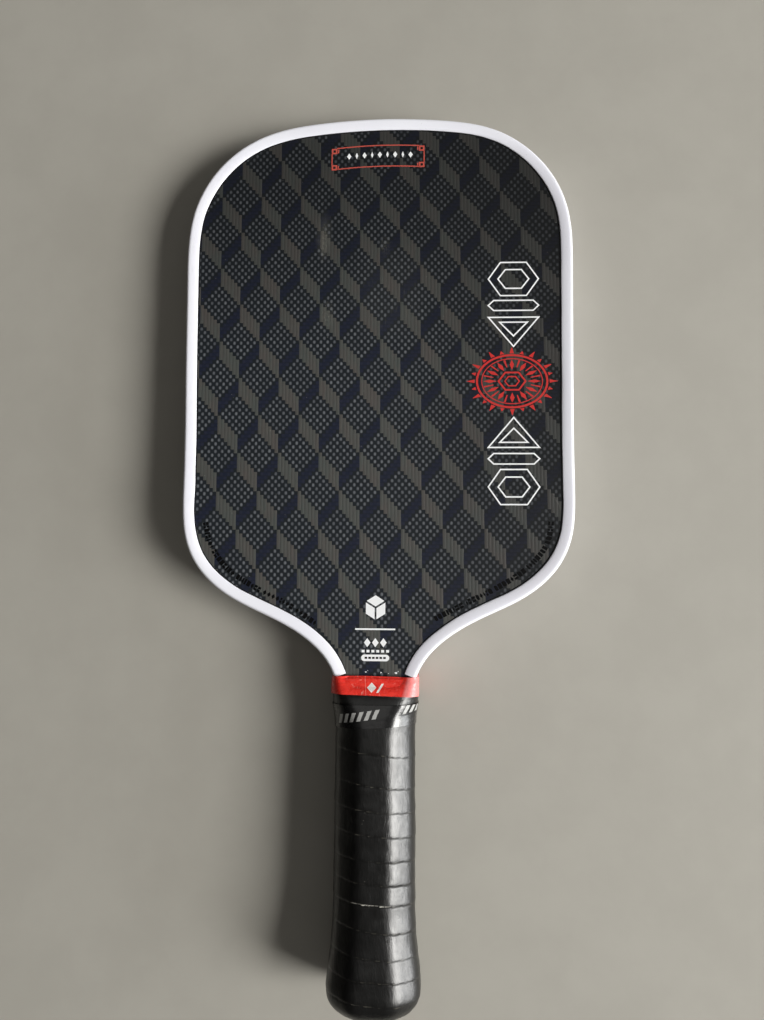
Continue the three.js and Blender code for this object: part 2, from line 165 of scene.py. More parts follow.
def value_noise(shape, seed, cells):
    """Smooth noise on a (rows, columns) grid from a random lattice; columns wrap round."""
    cell_rows, cell_columns = cells
    random = np.random.default_rng(seed)
    lattice = random.standard_normal((cell_rows + 4, cell_columns))
    y = np.linspace(0, cell_rows, shape[0])
    x = np.arange(shape[1]) / shape[1] * cell_columns
    row, column = y.astype(int), x.astype(int)

    def fade(t):
        return t * t * t * (t * (t * 6 - 15) + 10)

    def corner(down, right):
        return lattice[(row + down)[:, None], (column + right)[None] % cell_columns]

    fy, fx = fade(y - row)[:, None], fade(x - column)[None]
    return ((corner(0, 0) * (1 - fx) + corner(0, 1) * fx) * (1 - fy)
            + (corner(1, 0) * (1 - fx) + corner(1, 1) * fx) * fy)


def smooth_step(start, end, x):
    t = np.clip((np.asarray(x, float) - start) / (end - start), 0, 1)
    return t * t * (3 - 2 * t)


def unit(vector):
    return vector / max(np.hypot(*vector), 1e-9)


def turn_left(vector):
    return np.array([-vector[1], vector[0]])


# ---------------------------------------------------------------- meshes
def make(name, verts, faces, material, node=None, smooth=True, checked=True,
         attrs=None, sharp_above=None):
    """An object from millimetre points. node is the CAD piece it replaces, and sharp_above
    the angle in degrees past which an edge is shaded sharp."""
    mesh = bpy.data.meshes.new(name)
    points = [tuple(v) for v in np.asarray(verts, float) * MM]
    mesh.from_pydata(points, [], [tuple(int(i) for i in face) for face in faces])
    if checked:
        mesh.validate()
    bm = bmesh.new()
    bm.from_mesh(mesh)
    bmesh.ops.recalc_face_normals(bm, faces=bm.faces)
    if checked and bm.calc_volume(signed=True) < 0:
        bmesh.ops.reverse_faces(bm, faces=bm.faces)
    bm.to_mesh(mesh)
    bm.free()
    mesh.polygons.foreach_set("use_smooth", [smooth] * len(mesh.polygons))
    for key, values in (attrs or {}).items():
        attribute = mesh.attributes.new(key, "FLOAT", "POINT")
        attribute.data.foreach_set("value", np.asarray(values, np.float32))
    thing = bpy.data.objects.new(name, mesh)
    bpy.context.scene.collection.objects.link(thing)
    mesh.materials.append(material)
    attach(thing, "root")
    if node:
        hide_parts(node)
    if sharp_above:
        mark_sharp(mesh, sharp_above)


def mark_sharp(mesh, degrees):
    bm = bmesh.new()
    bm.from_mesh(mesh)
    for edge in bm.edges:
        if len(edge.link_faces) == 2 and edge.calc_face_angle(0) > math.radians(degrees):
            edge.smooth = False
    bm.to_mesh(mesh)
    bm.free()


def triangles(outline):
    return tessellate_polygon([[Vector((a, b, 0)) for a, b in outline]])


def plate(outline, low, high):
    """A filled outline raised from z = low to z = high: points and faces."""
    outline = np.asarray(outline, float)
    n = len(outline)
    points = np.r_[np.c_[outline, np.full(n, low)], np.c_[outline, np.full(n, high)]]
    tris = triangles(outline)
    faces = [tuple(t[::-1]) for t in tris] + [tuple(i + n for i in t) for t in tris]
    faces += [(i, (i + 1) % n, (i + 1) % n + n, i + n) for i in range(n)]
    return points, faces


def orient(points, faces):
    """Turns all faces over if together they face inwards."""
    centre = points.mean(0)
    volume = 0
    for face in faces:
        for i in range(1, len(face) - 1):
            first, second, third = points[[face[0], face[i], face[i + 1]]] - centre
            volume += np.dot(first, np.cross(points[face[i]] - points[face[0]] + first, third))
    return [tuple(face[::-1]) for face in faces] if volume < 0 else faces


class Solid:
    """Collects closed bodies into one mesh. An upright one rises along y instead of z."""

    def __init__(self, upright=False):
        self.points = []
        self.faces = []
        self.upright = upright

    def add(self, points, faces):
        if self.upright:
            points = points[:, [0, 2, 1]]
        start = sum(len(body) for body in self.points)
        self.points.append(points)
        self.faces += [tuple(i + start for i in face) for face in orient(points, faces)]

    def prism(self, outline, low=PRINT_LOW, high=PRINT_HIGH):
        self.add(*plate(outline, low, high))

    def ribbon(self, points, width, closed=False, low=PRINT_LOW, high=PRINT_HIGH):
        """A stroke along points with mitred corners; width is one value or one a point."""
        points = np.asarray(points, float)
        n = len(points)
        widths = np.broadcast_to(width, n)
        left, right = [], []
        for i, point in enumerate(points):
            came = point - points[i - 1]
            goes = points[(i + 1) % n] - point
            if not closed and i == 0:
                came = goes
            if not closed and i == n - 1:
                goes = came
            came, goes = unit(came), unit(goes)
            mitre = unit(turn_left(came + goes))
            stretch = 1 / max(mitre @ turn_left(came), 0.35)
            left.append(point + mitre * widths[i] * stretch / 2)
            right.append(point - mitre * widths[i] * stretch / 2)
        body = np.concatenate([np.c_[side, np.full(n, z)]
                               for z in (low, high) for side in (left, right)])
        faces = []
        for i in range(n if closed else n - 1):
            j = (i + 1) % n
            faces += [(i, j, j + n, i + n), (i + 2 * n, i + 3 * n, j + 3 * n, j + 2 * n),
                      (i, i + 2 * n, j + 2 * n, j), (i + n, j + n, j + 3 * n, i + 3 * n)]
        if not closed:
            faces += [(0, n, 3 * n, 2 * n), (n - 1, 3 * n - 1, 4 * n - 1, 2 * n - 1)]
            # the far cap runs round the same way as the original corner order of the near one
            faces[-1] = (n - 1, 3 * n - 1, 4 * n - 1, 2 * n - 1)
        self.add(body, faces)

    def build(self, name, material, slot):
        make(name, np.concatenate(self.points), self.faces, material,
             smooth=False, checked=False)


# ---------------------------------------------------------------- shader nodes
def srgb(red, green, blue):
    def linear(level):
        level /= 255
        return level / 12.92 if level <= 0.04045 else ((level + 0.055) / 1.055) ** 2.4
    return (linear(red), linear(green), linear(blue), 1.0)


def operator(operation, swapped=False):
    def apply(self, *others):
        inputs = (*others, self) if swapped else (self, *others)
        return self.graph.math(operation, *inputs)
    return apply


class Value:
    """A node's output socket. Arithmetic on it adds Math nodes; comparisons give 0 or 1."""

    def __init__(self, graph, socket):
        self.graph = graph
        self.socket = socket

    __add__ = operator("ADD")
    __radd__ = operator("ADD", swapped=True)
    __sub__ = operator("SUBTRACT")
    __rsub__ = operator("SUBTRACT", swapped=True)
    __mul__ = operator("MULTIPLY")
    __pow__ = operator("POWER")
    __mod__ = operator("FLOORED_MODULO")
    __lt__ = operator("LESS_THAN")
    __gt__ = operator("GREATER_THAN")
    __abs__ = operator("ABSOLUTE")
    __round__ = operator("ROUND")
    sqrt = operator("SQRT")
    cos = operator("COSINE")
    sin = operator("SINE")
    largest = operator("MAXIMUM")

    def ramp(self, start, end, low=0.0, high=1.0):
        """Goes smoothly from low to high as the value goes from start to end."""
        node = self.graph.node("MapRange")
        node.interpolation_type = "SMOOTHSTEP"
        for socket, value in zip(node.inputs, (self, start, end, low, high)):
            self.graph.put(socket, value)
        return Value(self.graph, node.outputs[0])


class Graph:
    """Adds nodes to a node tree."""

    def __init__(self, tree):
        self.tree = tree

    def node(self, kind):
        return self.tree.nodes.new("ShaderNode" + kind)

    def put(self, socket, value):
        if isinstance(value, Value):
            self.tree.links.new(value.socket, socket)
        else:
            socket.default_value = value

    def math(self, operation, *inputs):
        node = self.node("Math")
        node.operation = operation
        for socket, value in zip(node.inputs, inputs):
            self.put(socket, value)
        return Value(self, node.outputs[0])

    def light_path(self, output):
        return Value(self, self.node("LightPath").outputs[output])


class Shader(Graph):
    """A material round one Principled BSDF, with patterns in object millimetres."""

    SOCKETS = {"color": "Base Color", "rough": "Roughness", "normal": "Normal",
               "spec": "Specular IOR Level", "coat": "Coat Weight",
               "coat_rough": "Coat Roughness"}

    def __init__(self, name):
        self.material = bpy.data.materials.new(name)
        self.material.use_nodes = True
        super().__init__(self.material.node_tree)
        self.tree.nodes.clear()
        self.output = self.node("OutputMaterial")
        self.bsdf = self.node("BsdfPrincipled")
        self.tree.links.new(self.bsdf.outputs[0], self.output.inputs[0])
        self.object_coords = None

    def coords(self):
        if self.object_coords is None:
            metres = Value(self, self.node("TexCoord").outputs["Object"])
            self.object_coords = self.scale(metres, 1000.0)
        return self.object_coords

    def scale(self, vector, factor):
        node = self.node("VectorMath")
        node.operation = "SCALE"
        self.put(node.inputs[0], vector)
        self.put(node.inputs["Scale"], factor)
        return Value(self, node.outputs[0])

    def split(self, vector):
        node = self.node("SeparateXYZ")
        self.put(node.inputs[0], vector)
        return [Value(self, output) for output in node.outputs]

    def xyz(self):
        return self.split(self.coords())

    def vector(self, x, y, z):
        node = self.node("CombineXYZ")
        for socket, value in zip(node.inputs, (x, y, z)):
            self.put(socket, value)
        return Value(self, node.outputs[0])

    def place(self, freq, vector):
        """The vector, or the object coordinates, times freq: one factor or one for each axis."""
        vector = vector or self.coords()
        if freq is None:
            return vector
        node = self.node("VectorMath")
        node.operation = "MULTIPLY"
        self.put(node.inputs[0], vector)
        node.inputs[1].default_value = freq if isinstance(freq, tuple) else (freq,) * 3
        return Value(self, node.outputs[0])

    def noise(self, freq=None, vector=None, scale=1.0, detail=3.0, rough=0.6, distort=0.0,
              color=False):
        node = self.node("TexNoise")
        self.put(node.inputs["Vector"], self.place(freq, vector))
        node.inputs["Scale"].default_value = scale
        node.inputs["Detail"].default_value = detail
        node.inputs["Roughness"].default_value = rough
        node.inputs["Distortion"].default_value = distort
        return Value(self, node.outputs[1 if color else 0])

    def voronoi(self, freq=None, vector=None, scale=1.0, scatter=1.0):
        node = self.node("TexVoronoi")
        self.put(node.inputs["Vector"], self.place(freq, vector))
        node.inputs["Scale"].default_value = scale
        node.inputs["Randomness"].default_value = scatter
        return Value(self, node.outputs[0])

    def white_noise(self, vector):
        node = self.node("TexWhiteNoise")
        node.noise_dimensions = "3D"
        self.put(node.inputs[0], vector)
        return Value(self, node.outputs[0])

    def attribute(self, name):
        node = self.node("Attribute")
        node.attribute_name = name
        return Value(self, node.outputs["Fac"])

    def mix(self, amount, first, second):
        """Mixes two colours."""
        node = self.node("Mix")
        node.data_type = "RGBA"
        for i, value in ((0, amount), (6, first), (7, second)):
            self.put(node.inputs[i], value)
        return Value(self, node.outputs[2])

    def mix_number(self, amount, first, second):
        node = self.node("Mix")
        node.data_type = "FLOAT"
        for i, value in ((0, amount), (2, first), (3, second)):
            self.put(node.inputs[i], value)
        return Value(self, node.outputs[0])

    def bump(self, height, strength, distance, over=None):
        """Bump with its distance in metres, on top of another normal if over is given."""
        node = self.node("Bump")
        node.inputs["Strength"].default_value = strength
        node.inputs["Distance"].default_value = distance
        self.put(node.inputs["Height"], height)
        if over:
            self.put(node.inputs["Normal"], over)
        return Value(self, node.outputs[0])

    def finish(self, **inputs):
        for key, value in inputs.items():
            self.put(self.bsdf.inputs[self.SOCKETS[key]], value)
        return self.material


# ---------------------------------------------------------------- woven faces
REPEAT_X, REPEAT_Y = 19.5566, 18.3953       # one repeat of the woven pattern
YARNS_X, YARNS_Y = 12.0, 10.0               # yarn cells in a repeat
PATTERN_X, PATTERN_Y = -67.287, 95.944      # where the pattern starts
PATTERN_TURN = math.radians(0.4276)
DRIFT = 0.55                                # how far the yarns wander
SCRATCH_X, SCRATCH_Y, SCRATCH_RADIUS = 76.6, 12.2, 9.6


def weave_material(name, side):
    mat = Shader(name)
    x, y, _ = mat.xyz()
    if side < 0:
        x = x * -1.0
    # slow wander of the yarns, so that the cloth isn't ruler straight
    wander_x, wander_y, _ = mat.split(mat.noise(freq=0.03, detail=2, rough=0.5, color=True))
    dx = x - PATTERN_X + (wander_x - 0.5) * DRIFT
    dy = y - PATTERN_Y + (wander_y - 0.5) * DRIFT
    cos, sin = math.cos(PATTERN_TURN), math.sin(PATTERN_TURN)
    across = (dx * cos + dy * sin) * (1 / REPEAT_X) * YARNS_X + 0.5
    down = (dx * sin - dy * cos) * (1 / REPEAT_Y) * YARNS_Y + 4.5
    column, row = round(across), round(down)
    repeat_x, repeat_y = (column - 0.5) * (1 / YARNS_X), (row - 4.5) * (1 / YARNS_Y)

    def centred(shift_x, shift_y):
        """Place from the nearest pattern centre, in repeats."""
        u, v = repeat_x - shift_x, repeat_y - shift_y
        return u - round(u), v - round(v * 0.5) * 2.0

    def diamond(u, v):
        p, q = v * YARNS_Y, u * YARNS_X
        return (abs(p + q) < 6.5) * (abs(p - q) < 5.5)

    u, v = centred(0.0, 0.0)
    diamonds = diamond(u, v).largest(diamond(*centred(0.5, 1.0)))
    quarter = abs((u < 0.0) - (v < 0.0))
    olive = (1.0 - diamonds) * quarter
    navy = (1.0 - diamonds) * (1.0 - quarter)
    even = (column + row) % 2.0 < 0.5
    # place in a yarn cell, -0.5 to 0.5
    cell_x, cell_y = across - column, down - row
    random = mat.white_noise(mat.vector(column, row, 0.0))
    from_middle = (abs(cell_x * (1 / 0.47)) ** 2.4 + abs(cell_y * (1 / 0.56)) ** 2.4).sqrt()
    dot = diamonds * even * from_middle.ramp(1.14, 0.26)
    # filaments: long streaks along y inside each yarn
    filament = mat.noise(freq=(3.1, 0.16, 1.0))
    fine_filament = mat.noise(freq=(9.0, 0.5, 1.0), detail=2, rough=0.5)
    # 1 in a yarn's middle, -1 between yarns
    ridge_x, ridge_y = (cell_x * (2 * math.pi)).cos(), (cell_y * (2 * math.pi)).cos()
    blotch = mat.noise(freq=0.018, rough=0.55)

    tint = mat.noise(freq=(0.55, 0.12, 1.0), detail=2, rough=0.5).ramp(0.35, 0.65)
    drift = mat.noise(freq=(0.11, 0.05, 1.0)).ramp(0.38, 0.64)
    olive_color = mat.mix((tint + drift * 2.0) * (1 / 3), srgb(66, 74, 72), srgb(78, 71, 69))
    olive_color = mat.mix(filament.ramp(0.35, 0.7) * 0.55, olive_color, srgb(88, 87, 81))
    olive_color = mat.mix(ridge_x.ramp(-0.2, -1.0) * 0.30, olive_color, srgb(56, 57, 55))
    olive_color = mat.mix(random * 0.14, olive_color, srgb(60, 62, 58))
    navy_tint = mat.noise(freq=(0.1, 0.4, 1.0), detail=2, rough=0.5).ramp(0.3, 0.7)
    navy_color = mat.mix(navy_tint, srgb(20, 28, 48), srgb(26, 32, 52))
    navy_color = mat.mix(ridge_y.ramp(-0.1, -1.0) * 0.35, navy_color, srgb(18, 21, 28))
    navy_color = mat.mix(even * from_middle.ramp(1.0, 0.5) * 0.16, navy_color,
                         srgb(60, 62, 72))
    ground = mat.mix(random * 0.5, srgb(23, 29, 35), srgb(17, 23, 29))
    dot_color = mat.mix(random, srgb(78, 82, 89), srgb(106, 110, 116))
    dot_color = mat.mix(filament.ramp(0.4, 0.7) * 0.4, dot_color, srgb(134, 138, 143))
    color = mat.mix(olive, mat.mix(navy, ground, navy_color), olive_color)
    color = mat.mix(dot, color, dot_color)
    if side > 0:
        color = front_wear(mat, color, x, y)
    speck = mat.voronoi(freq=(0.21, 0.21, 0.0)).ramp(0.055, 0.025)
    color = mat.mix(speck * 0.5, color, srgb(150, 150, 145))
    dust = mat.noise(freq=(2.2, 2.2, 1.0), detail=2).ramp(0.70, 0.80) * blotch.ramp(0.45, 0.62)
    color = mat.mix(dust * 0.22, color, srgb(130, 130, 124))
    # painted shade: the face is darker towards the top and towards one side, standing in for how
    # the light falls on it
    painted_shade = y.ramp(200.0, 70.0, low=0.36, high=0.80) * x.ramp(-10.0, 104.0, low=0.96, high=0.32)
    color = mat.scale(color, painted_shade)
    rough = mat.mix_number(dot, 0.55, 0.42) + (fine_filament - 0.5) * 0.18 + olive * -0.05
    height = (dot * 1.0 + olive * ridge_x.ramp(-1.0, 0.4) * 0.75 + olive * filament * 0.5
              + navy * ridge_y.ramp(-1.0, 0.4) * 0.6 + fine_filament * 0.25)
    cloth = mat.bump(height, strength=0.55, distance=0.00009)
    grit = mat.noise(freq=3.6, rough=0.65)
    return mat.finish(color=color, rough=rough, spec=olive * 0.36 + 0.26,
                      normal=mat.bump(grit, strength=0.35, distance=0.00006, over=cloth),
                      coat=0.05, coat_rough=0.45)


def front_wear(mat, color, x, y):
    """Scuffed patches, short pale streaks and a curved scratch."""
    def patch(centre, radii):
        dx = (x - centre[0]) * (1 / radii[0])
        dy = (y - centre[1]) * (1 / radii[1])
        return (dx ** 2.0 + dy ** 2.0).sqrt().ramp(1.0, 0.35)

    streak = mat.noise(freq=(0.9, 0.14, 1.0), detail=4, rough=0.7).ramp(0.55, 0.72)
    scuffed = patch((-26.8, 149.0), (5.0, 16.0)).largest(patch((6.0, 120.0), (24.0, 30.0)) * 0.25)
    color = mat.mix(scuffed * (streak * 0.8 + 0.2) * 0.56, color, srgb(146, 146, 138))
    grain = mat.noise(freq=(2.6, 0.7, 1.0), detail=4, rough=0.75).ramp(0.46, 0.66)
    faint = patch((-24.6, 109.0), (4.5, 9.0)).largest(patch((3.2, 143.5), (3.5, 6.0)))
    rub = patch((-26.8, 146.5), (2.3, 10.5)).largest(faint * 0.45)
    color = mat.mix(rub * grain * 0.62, color, srgb(166, 164, 150))
    # the scratch lies beside the guard, below the column of outlined shapes
    away = ((x - SCRATCH_X) ** 2.0 + (y - SCRATCH_Y) ** 2.0).sqrt()
    scratch = abs(away - SCRATCH_RADIUS).ramp(0.42, 0.12) * patch((84.9, 16.4), (3.6, 3.6))
    return mat.mix(scratch * (streak * 0.5 + 0.5) * 0.65, color, srgb(150, 150, 146))


def face_sheet(name, side, node):
    points, normals, _ = path_above(-66.3, step=3)
    rim = points + normals * 2.2            # the sheet ends inside the guard's channel
    verts, faces = plate(rim, side * (FACE_Z - SHEET_THICK), side * FACE_Z)
    make(name, verts, faces, weave_material("woven_" + name, side), node,
         smooth=False)


face_sheet("face_front", 1, "woven_face_front")
face_sheet("face_back", -1, "woven_face_back")


# ---------------------------------------------------------------- edge guard
# Front half of the guard's outer profile, from lip to wall: inset from the outer edge, z
GUARD_FRONT = np.array([
    [5.40, 8.02], [5.45, 8.16], [5.45, 8.30], [5.38, 8.43], [5.24, 8.52], [5.0, 8.60],
    [4.5, 8.73], [3.9, 8.86], [3.3, 8.96], [2.7, 9.05], [2.1, 9.12], [1.55, 9.17], [1.1, 9.18],
    [0.75, 9.12], [0.45, 8.97], [0.18, 8.70], [-0.03, 8.33], [-0.17, 7.85], [-0.25, 7.1],
    [-0.29, 6.1], [-0.3, 4.6], [-0.3, 2.3], [-0.3, 0.0]])
# The channel that holds the laminate, from back to front: inset, z
GUARD_CHANNEL = np.array([
    [4.2, -8.02], [2.4, -8.02], [1.72, -7.9], [1.72, -4.0], [1.72, 0.0], [1.72, 4.0],
    [1.72, 7.9], [2.4, 8.02], [4.2, 8.02]])
# How much further in the guard stands, round from the left tang: x, y, extra reach
GUARD_REACH = np.array([
    (-21, -59.2, 0.24), (-38.1, -42.7, 0.08), (-70.1, -26.1, -0.45), (-90.8, 2.1, -0.3),
    (-92.5, 26, 0.27), (-92.7, 50, 0.24), (-93.2, 86, -0.1), (-93.8, 122, -0.03),
    (-92.4, 157.9, 0.05), (-89, 169.5, 0.43), (-83.5, 180.1, 0.86), (-66.4, 196.8, 0.98),
    (-44.3, 205.6, 1.05), (-26, 208.2, 1.25), (-8.5, 209.4, 0.97), (15.5, 209.1, 0.6),
    (27.5, 208.2, 0.33), (39.4, 206.6, -0.2), (51, 203.8, -0.7), (62.1, 199.3, -0.77),
    (80.5, 184.1, -0.46), (91.2, 162.8, -0.4), (93.4, 151, -0.12), (94, 139, 0.31),
    (93.7, 115, 0.22), (93.1, 79, 0.12), (92.6, 43, 0.0), (91.7, 7, -0.44),
    (82.8, -14.9, 0.04), (64, -29.6, 0.17), (53.2, -34.8, 0.43), (35, -44.5, 0.26),
    (20, -61, 0.3)])
LIP_INSET = 5.25                # where the dark line of adhesive and painted shadow starts


def guard_material():
    mat = Shader("guard_tpu")
    _, _, z = mat.xyz()
    cloud = mat.noise(freq=(0.02, 0.02, 0.05), rough=0.5).ramp(0.35, 0.7)
    color = mat.mix(cloud, srgb(235, 236, 244), srgb(230, 230, 240))
    # fine grime in the pores, a little more on the outer wall, and a few scuffs
    pore = mat.noise(scale=1.6, detail=4, rough=0.7).ramp(0.50, 0.78)
    wall = abs(z).ramp(8.6, 4.0)
    color = mat.mix(pore * mat.mix_number(wall, 0.10, 0.26), color, srgb(186, 182, 184))
    scuff = (mat.noise(freq=(0.35, 0.35, 1.4), detail=5, rough=0.75).ramp(0.63, 0.74)
             * mat.noise(freq=(0.016, 0.016, 0.0), detail=2, rough=0.5).ramp(0.5, 0.62))
    color = mat.mix(scuff * mat.mix_number(wall, 0.12, 0.55), color, srgb(120, 117, 118))
    speck = mat.voronoi(freq=0.33).ramp(0.06, 0.03)
    color = mat.mix(speck * 0.35, color, srgb(110, 105, 100))
    # painted shade: the outer wall is darker than the crown, so it does not burn out under the
    # strong side lights
    color = mat.mix(abs(z).ramp(8.75, 6.6) * 0.85, color, srgb(174, 173, 178))
    rough = 0.36 + mat.noise(freq=0.5) * 0.16 + scuff * 0.2
    peel = mat.noise(scale=1.1, detail=2, rough=0.5)
    drag = mat.noise(freq=(5.0, 5.0, 2.0))
    normal = mat.bump(peel * 1.0 + drag * 0.4, strength=0.25, distance=0.00010)
    return mat.finish(color=color, rough=rough, normal=normal, spec=0.5)


def adhesive_and_shadow_material():
    mat = Shader("adhesive_and_shadow_line")
    color = mat.mix(mat.noise(freq=0.5), srgb(7, 7, 9), srgb(15, 15, 18))
    rough = 0.62 + mat.noise(freq=1.5, detail=2, rough=0.5) * 0.2
    lumps = mat.noise(freq=2.0, detail=2, rough=0.5)
    return mat.finish(color=color, rough=rough, spec=0.2,
                      normal=mat.bump(lumps, strength=0.3, distance=0.0001))


def guard_reach():
    """The extra reach at every point of the edge path."""
    lengths = arc_length(PATH)
    stations = [lengths[np.argmin(np.hypot(PATH[:, 0] - x, PATH[:, 1] - y))]
                for x, y, _ in GUARD_REACH]
    return smooth_rows(np.interp(lengths, stations, GUARD_REACH[:, 2]), 5.0, PATH_STEP)


def guard():
    points, normals, picked = path_above(-64.4, step=2)
    back = (GUARD_FRONT * [1, -1])[::-1][1:]
    profile = np.r_[GUARD_FRONT, back, GUARD_CHANNEL]
    across, count = len(profile), len(points)
    random = np.random.default_rng(11)

    def wave(cells, size):
        lattice = random.standard_normal(cells + 3)
        t = np.arange(count) / (count - 1) * cells
        cell = t.astype(int)
        part = smooth_step(0, 1, t - cell)
        return (lattice[cell] * (1 - part) + lattice[cell + 1] * part) * size

    # the lips waver a little where the channel was pressed on
    front_lip = wave(60, 0.055) + wave(160, 0.02)
    back_lip = wave(60, 0.06)
    crown = wave(45, 0.03)
    reach = guard_reach()[picked]
    front_lip = front_lip + reach
    back_lip = back_lip + 0.75 * reach

    verts = np.zeros((count, across, 3))
    for j, (inset, z) in enumerate(profile):
        lip_share = smooth_step(2.2, 5.2, inset)
        # the channel's inside stays on the laminate
        in_channel = abs(z) < 8.01 and inset > 1.0
        wall_share = 0.0 if in_channel else 1.0 - lip_share
        lip = front_lip if z > 0 else back_lip
        depth = inset + lip_share * lip + wall_share * 0.75 * reach
        verts[:, j, :2] = points + normals * depth[:, None]
        verts[:, j, 2] = z + crown * np.sign(z) * smooth_step(8.3, 8.9, abs(z))
    faces = []
    for i in range(count - 1):
        for j in range(across):
            a, b = i * across + j, i * across + (j + 1) % across
            faces.append((a, b, b + across, a + across))
    caps = triangles(profile)
    end = (count - 1) * across
    faces += [tuple(t) for t in caps] + [tuple(i + end for i in t[::-1]) for t in caps]
    make("edge_guard_trim", verts.reshape(-1, 3), faces, guard_material(),
         "edge_guard", sharp_above=50)
    adhesive_and_shadow_line(front_lip, back_lip)


def adhesive_and_shadow_line(front_lip, back_lip):
    """A fine dark line between the lip and the weave, on both faces: the adhesive together with
    the lip's painted shadow, wider on the right where that shadow falls.
    """
    points, normals, _ = path_above(-63.0, step=2)
    x, y = points.T
    # wider where the lip's painted shadow falls
    width = (0.55 + 0.25 * smooth_step(60, 92, x)
             + 0.15 * smooth_step(60, 90, -x) * smooth_step(80, 110, y))
    bead = Solid()
    for lip, low, high in ((front_lip, FACE_Z + 0.004, FACE_Z + 0.05),
                           (back_lip, -FACE_Z - 0.05, -FACE_Z - 0.004)):
        lip = np.interp(np.arange(len(points)), np.linspace(0, len(points) - 1, len(lip)), lip)
        line = points + normals * (LIP_INSET + lip + width / 2)[:, None]
        bead.ribbon(line, width + 0.3, low=low, high=high)
    bead.build("guard_adhesive_and_shadow", adhesive_and_shadow_material(), "black_tape")


guard()


# ---------------------------------------------------------------- handle sections
def octagon(half_x, half_z, cut_x, cut_z, radius):
    """A rounded octagon as a closed polyline in (x, z), from the middle of the +x side
    towards +z."""
    a, b = half_x, half_z
    corners = np.array([
        [a, b - cut_z], [a - cut_x, b], [-(a - cut_x), b], [-a, b - cut_z],
        [-a, -(b - cut_z)], [-(a - cut_x), -b], [a - cut_x, -b], [a, -(b - cut_z)]])
    points = []
    for i, corner in enumerate(corners):
        to_last, to_next = corners[i - 1] - corner, corners[(i + 1) % 8] - corner
        back, ahead = unit(to_last), unit(to_next)
        half = math.acos(np.clip(back @ ahead, -1, 1)) / 2
        trim = min(radius / math.tan(half),
                   0.48 * min(np.hypot(*to_last), np.hypot(*to_next)))
        fillet = trim * math.tan(half)
        centre = corner + unit(back + ahead) * fillet / math.sin(half)
        start, end = corner + back * trim - centre, corner + ahead * trim - centre
        sweep = math.atan2(start[0] * end[1] - start[1] * end[0], start @ end)
        for part in np.linspace(0, 1, 12):
            cos, sin = math.cos(sweep * part), math.sin(sweep * part)
            points.append(centre + [cos * start[0] - sin * start[1],
                                    sin * start[0] + cos * start[1]])
    middle = np.array([a, 0.0])
    return np.r_[[middle], points, [middle]]


def section(half_x, half_z, cut_x, cut_z, radius, count):
    """An evenly spaced, softened octagon: points, outward normals and girth."""
    corners = octagon(half_x, half_z, cut_x, cut_z, radius)
    girth = arc_length(corners)[-1]
    ring = along(corners, np.linspace(0, girth, count, endpoint=False))
    sigma = 0.31 * radius       # the wraps bridge the bevels, so the section is softened
    soft = np.exp(-0.5 * (2 * np.pi * np.fft.fftfreq(count, girth / count) * sigma) ** 2)
    ring = np.stack([np.fft.ifft(np.fft.fft(values) * soft).real for values in ring.T], 1)
    tangent = np.roll(ring, -1, 0) - np.roll(ring, 1, 0)
    tangent /= np.hypot(*tangent.T)[:, None]
    normal = np.c_[tangent[:, 1], -tangent[:, 0]]
    # softening shrinks the ring, so it is let out again
    return ring + normal * 0.16 * (sigma / 2.43) ** 2, normal, girth


def sections(sizes, radius, count):
    rings, normals, girths = zip(*(section(*row, radius, count) for row in sizes))
    return np.array(rings), np.array(normals), np.array(girths)


def sizes_at(stations, heights, sigma=2.2):
    """Section sizes at the given heights from a station table, smoothed along the handle."""
    stations = stations[np.argsort(stations[:, 0])]
    step = 0.25
    grid = np.arange(stations[0, 0], stations[-1, 0] + step, step)
    columns = [
        np.interp(heights, grid,
                  smooth_rows(np.interp(grid, stations[:, 0], column), sigma, step))
        for column in stations.T[1:]]
    return np.stack(columns, 1)


def strip(first, second, count, flip=False):
    """Quads between two rings of vertices that start at the given indices."""
    here = np.arange(count)
    after = (here + 1) % count
    quads = np.stack([first + here, first + after, second + after, second + here], 1)
    return (quads[:, [0, 3, 2, 1]] if flip else quads).tolist()


def ring_points(rings, heights):
    """(x, z) rings and their heights as a list of points."""
    heights = np.broadcast_to(heights, rings.shape[:2])
    return np.stack([rings[..., 0], heights, rings[..., 1]], -1).reshape(-1, 3)


def sleeve(heights, sizes, lift, thick, radius, inner_rows):
    """A closed tube. lift[row, column] moves the outer surface out along its normal."""
    rows, count = lift.shape
    rings, normals, _ = sections(sizes, radius, count)
    keep = np.unique(np.linspace(0, rows - 1, inner_rows).astype(int))
    inner = rings[keep] - normals[keep] * np.broadcast_to(thick, rows)[keep][:, None, None]
    verts = np.concatenate([ring_points(rings + normals * lift[..., None], heights[:, None]),
                            ring_points(inner, heights[keep][:, None])])
    base = rows * count
    faces = []
    for i in range(rows - 1):
        faces += strip(i * count, (i + 1) * count, count)
    for i in range(len(keep) - 1):
        faces += strip(base + i * count, base + (i + 1) * count, count, flip=True)
    faces += strip(0, base, count, flip=True)
    faces += strip((rows - 1) * count, base + (len(keep) - 1) * count, count)
    return verts, faces


# ---------------------------------------------------------------- overgrip
WRAP_LOW, WRAP_HIGH = -209.15, -69.7
# Heights of the wrap's edges, one a turn, from the top down
SEAM_Y = np.array([-60.0, -72.5, -84.0, -99.2, -113.1, -123.0, -133.8, -144.4, -154.0, -162.6,
                   -173.8, -184.9, -193.6, -203.0, -212.5, -222.0])
SEAM_SHARE = 0.135          # share of the girth, from the +x side, that SEAM_Y belongs to
FRAY_X, FRAY_Y = -0.4, -161.5


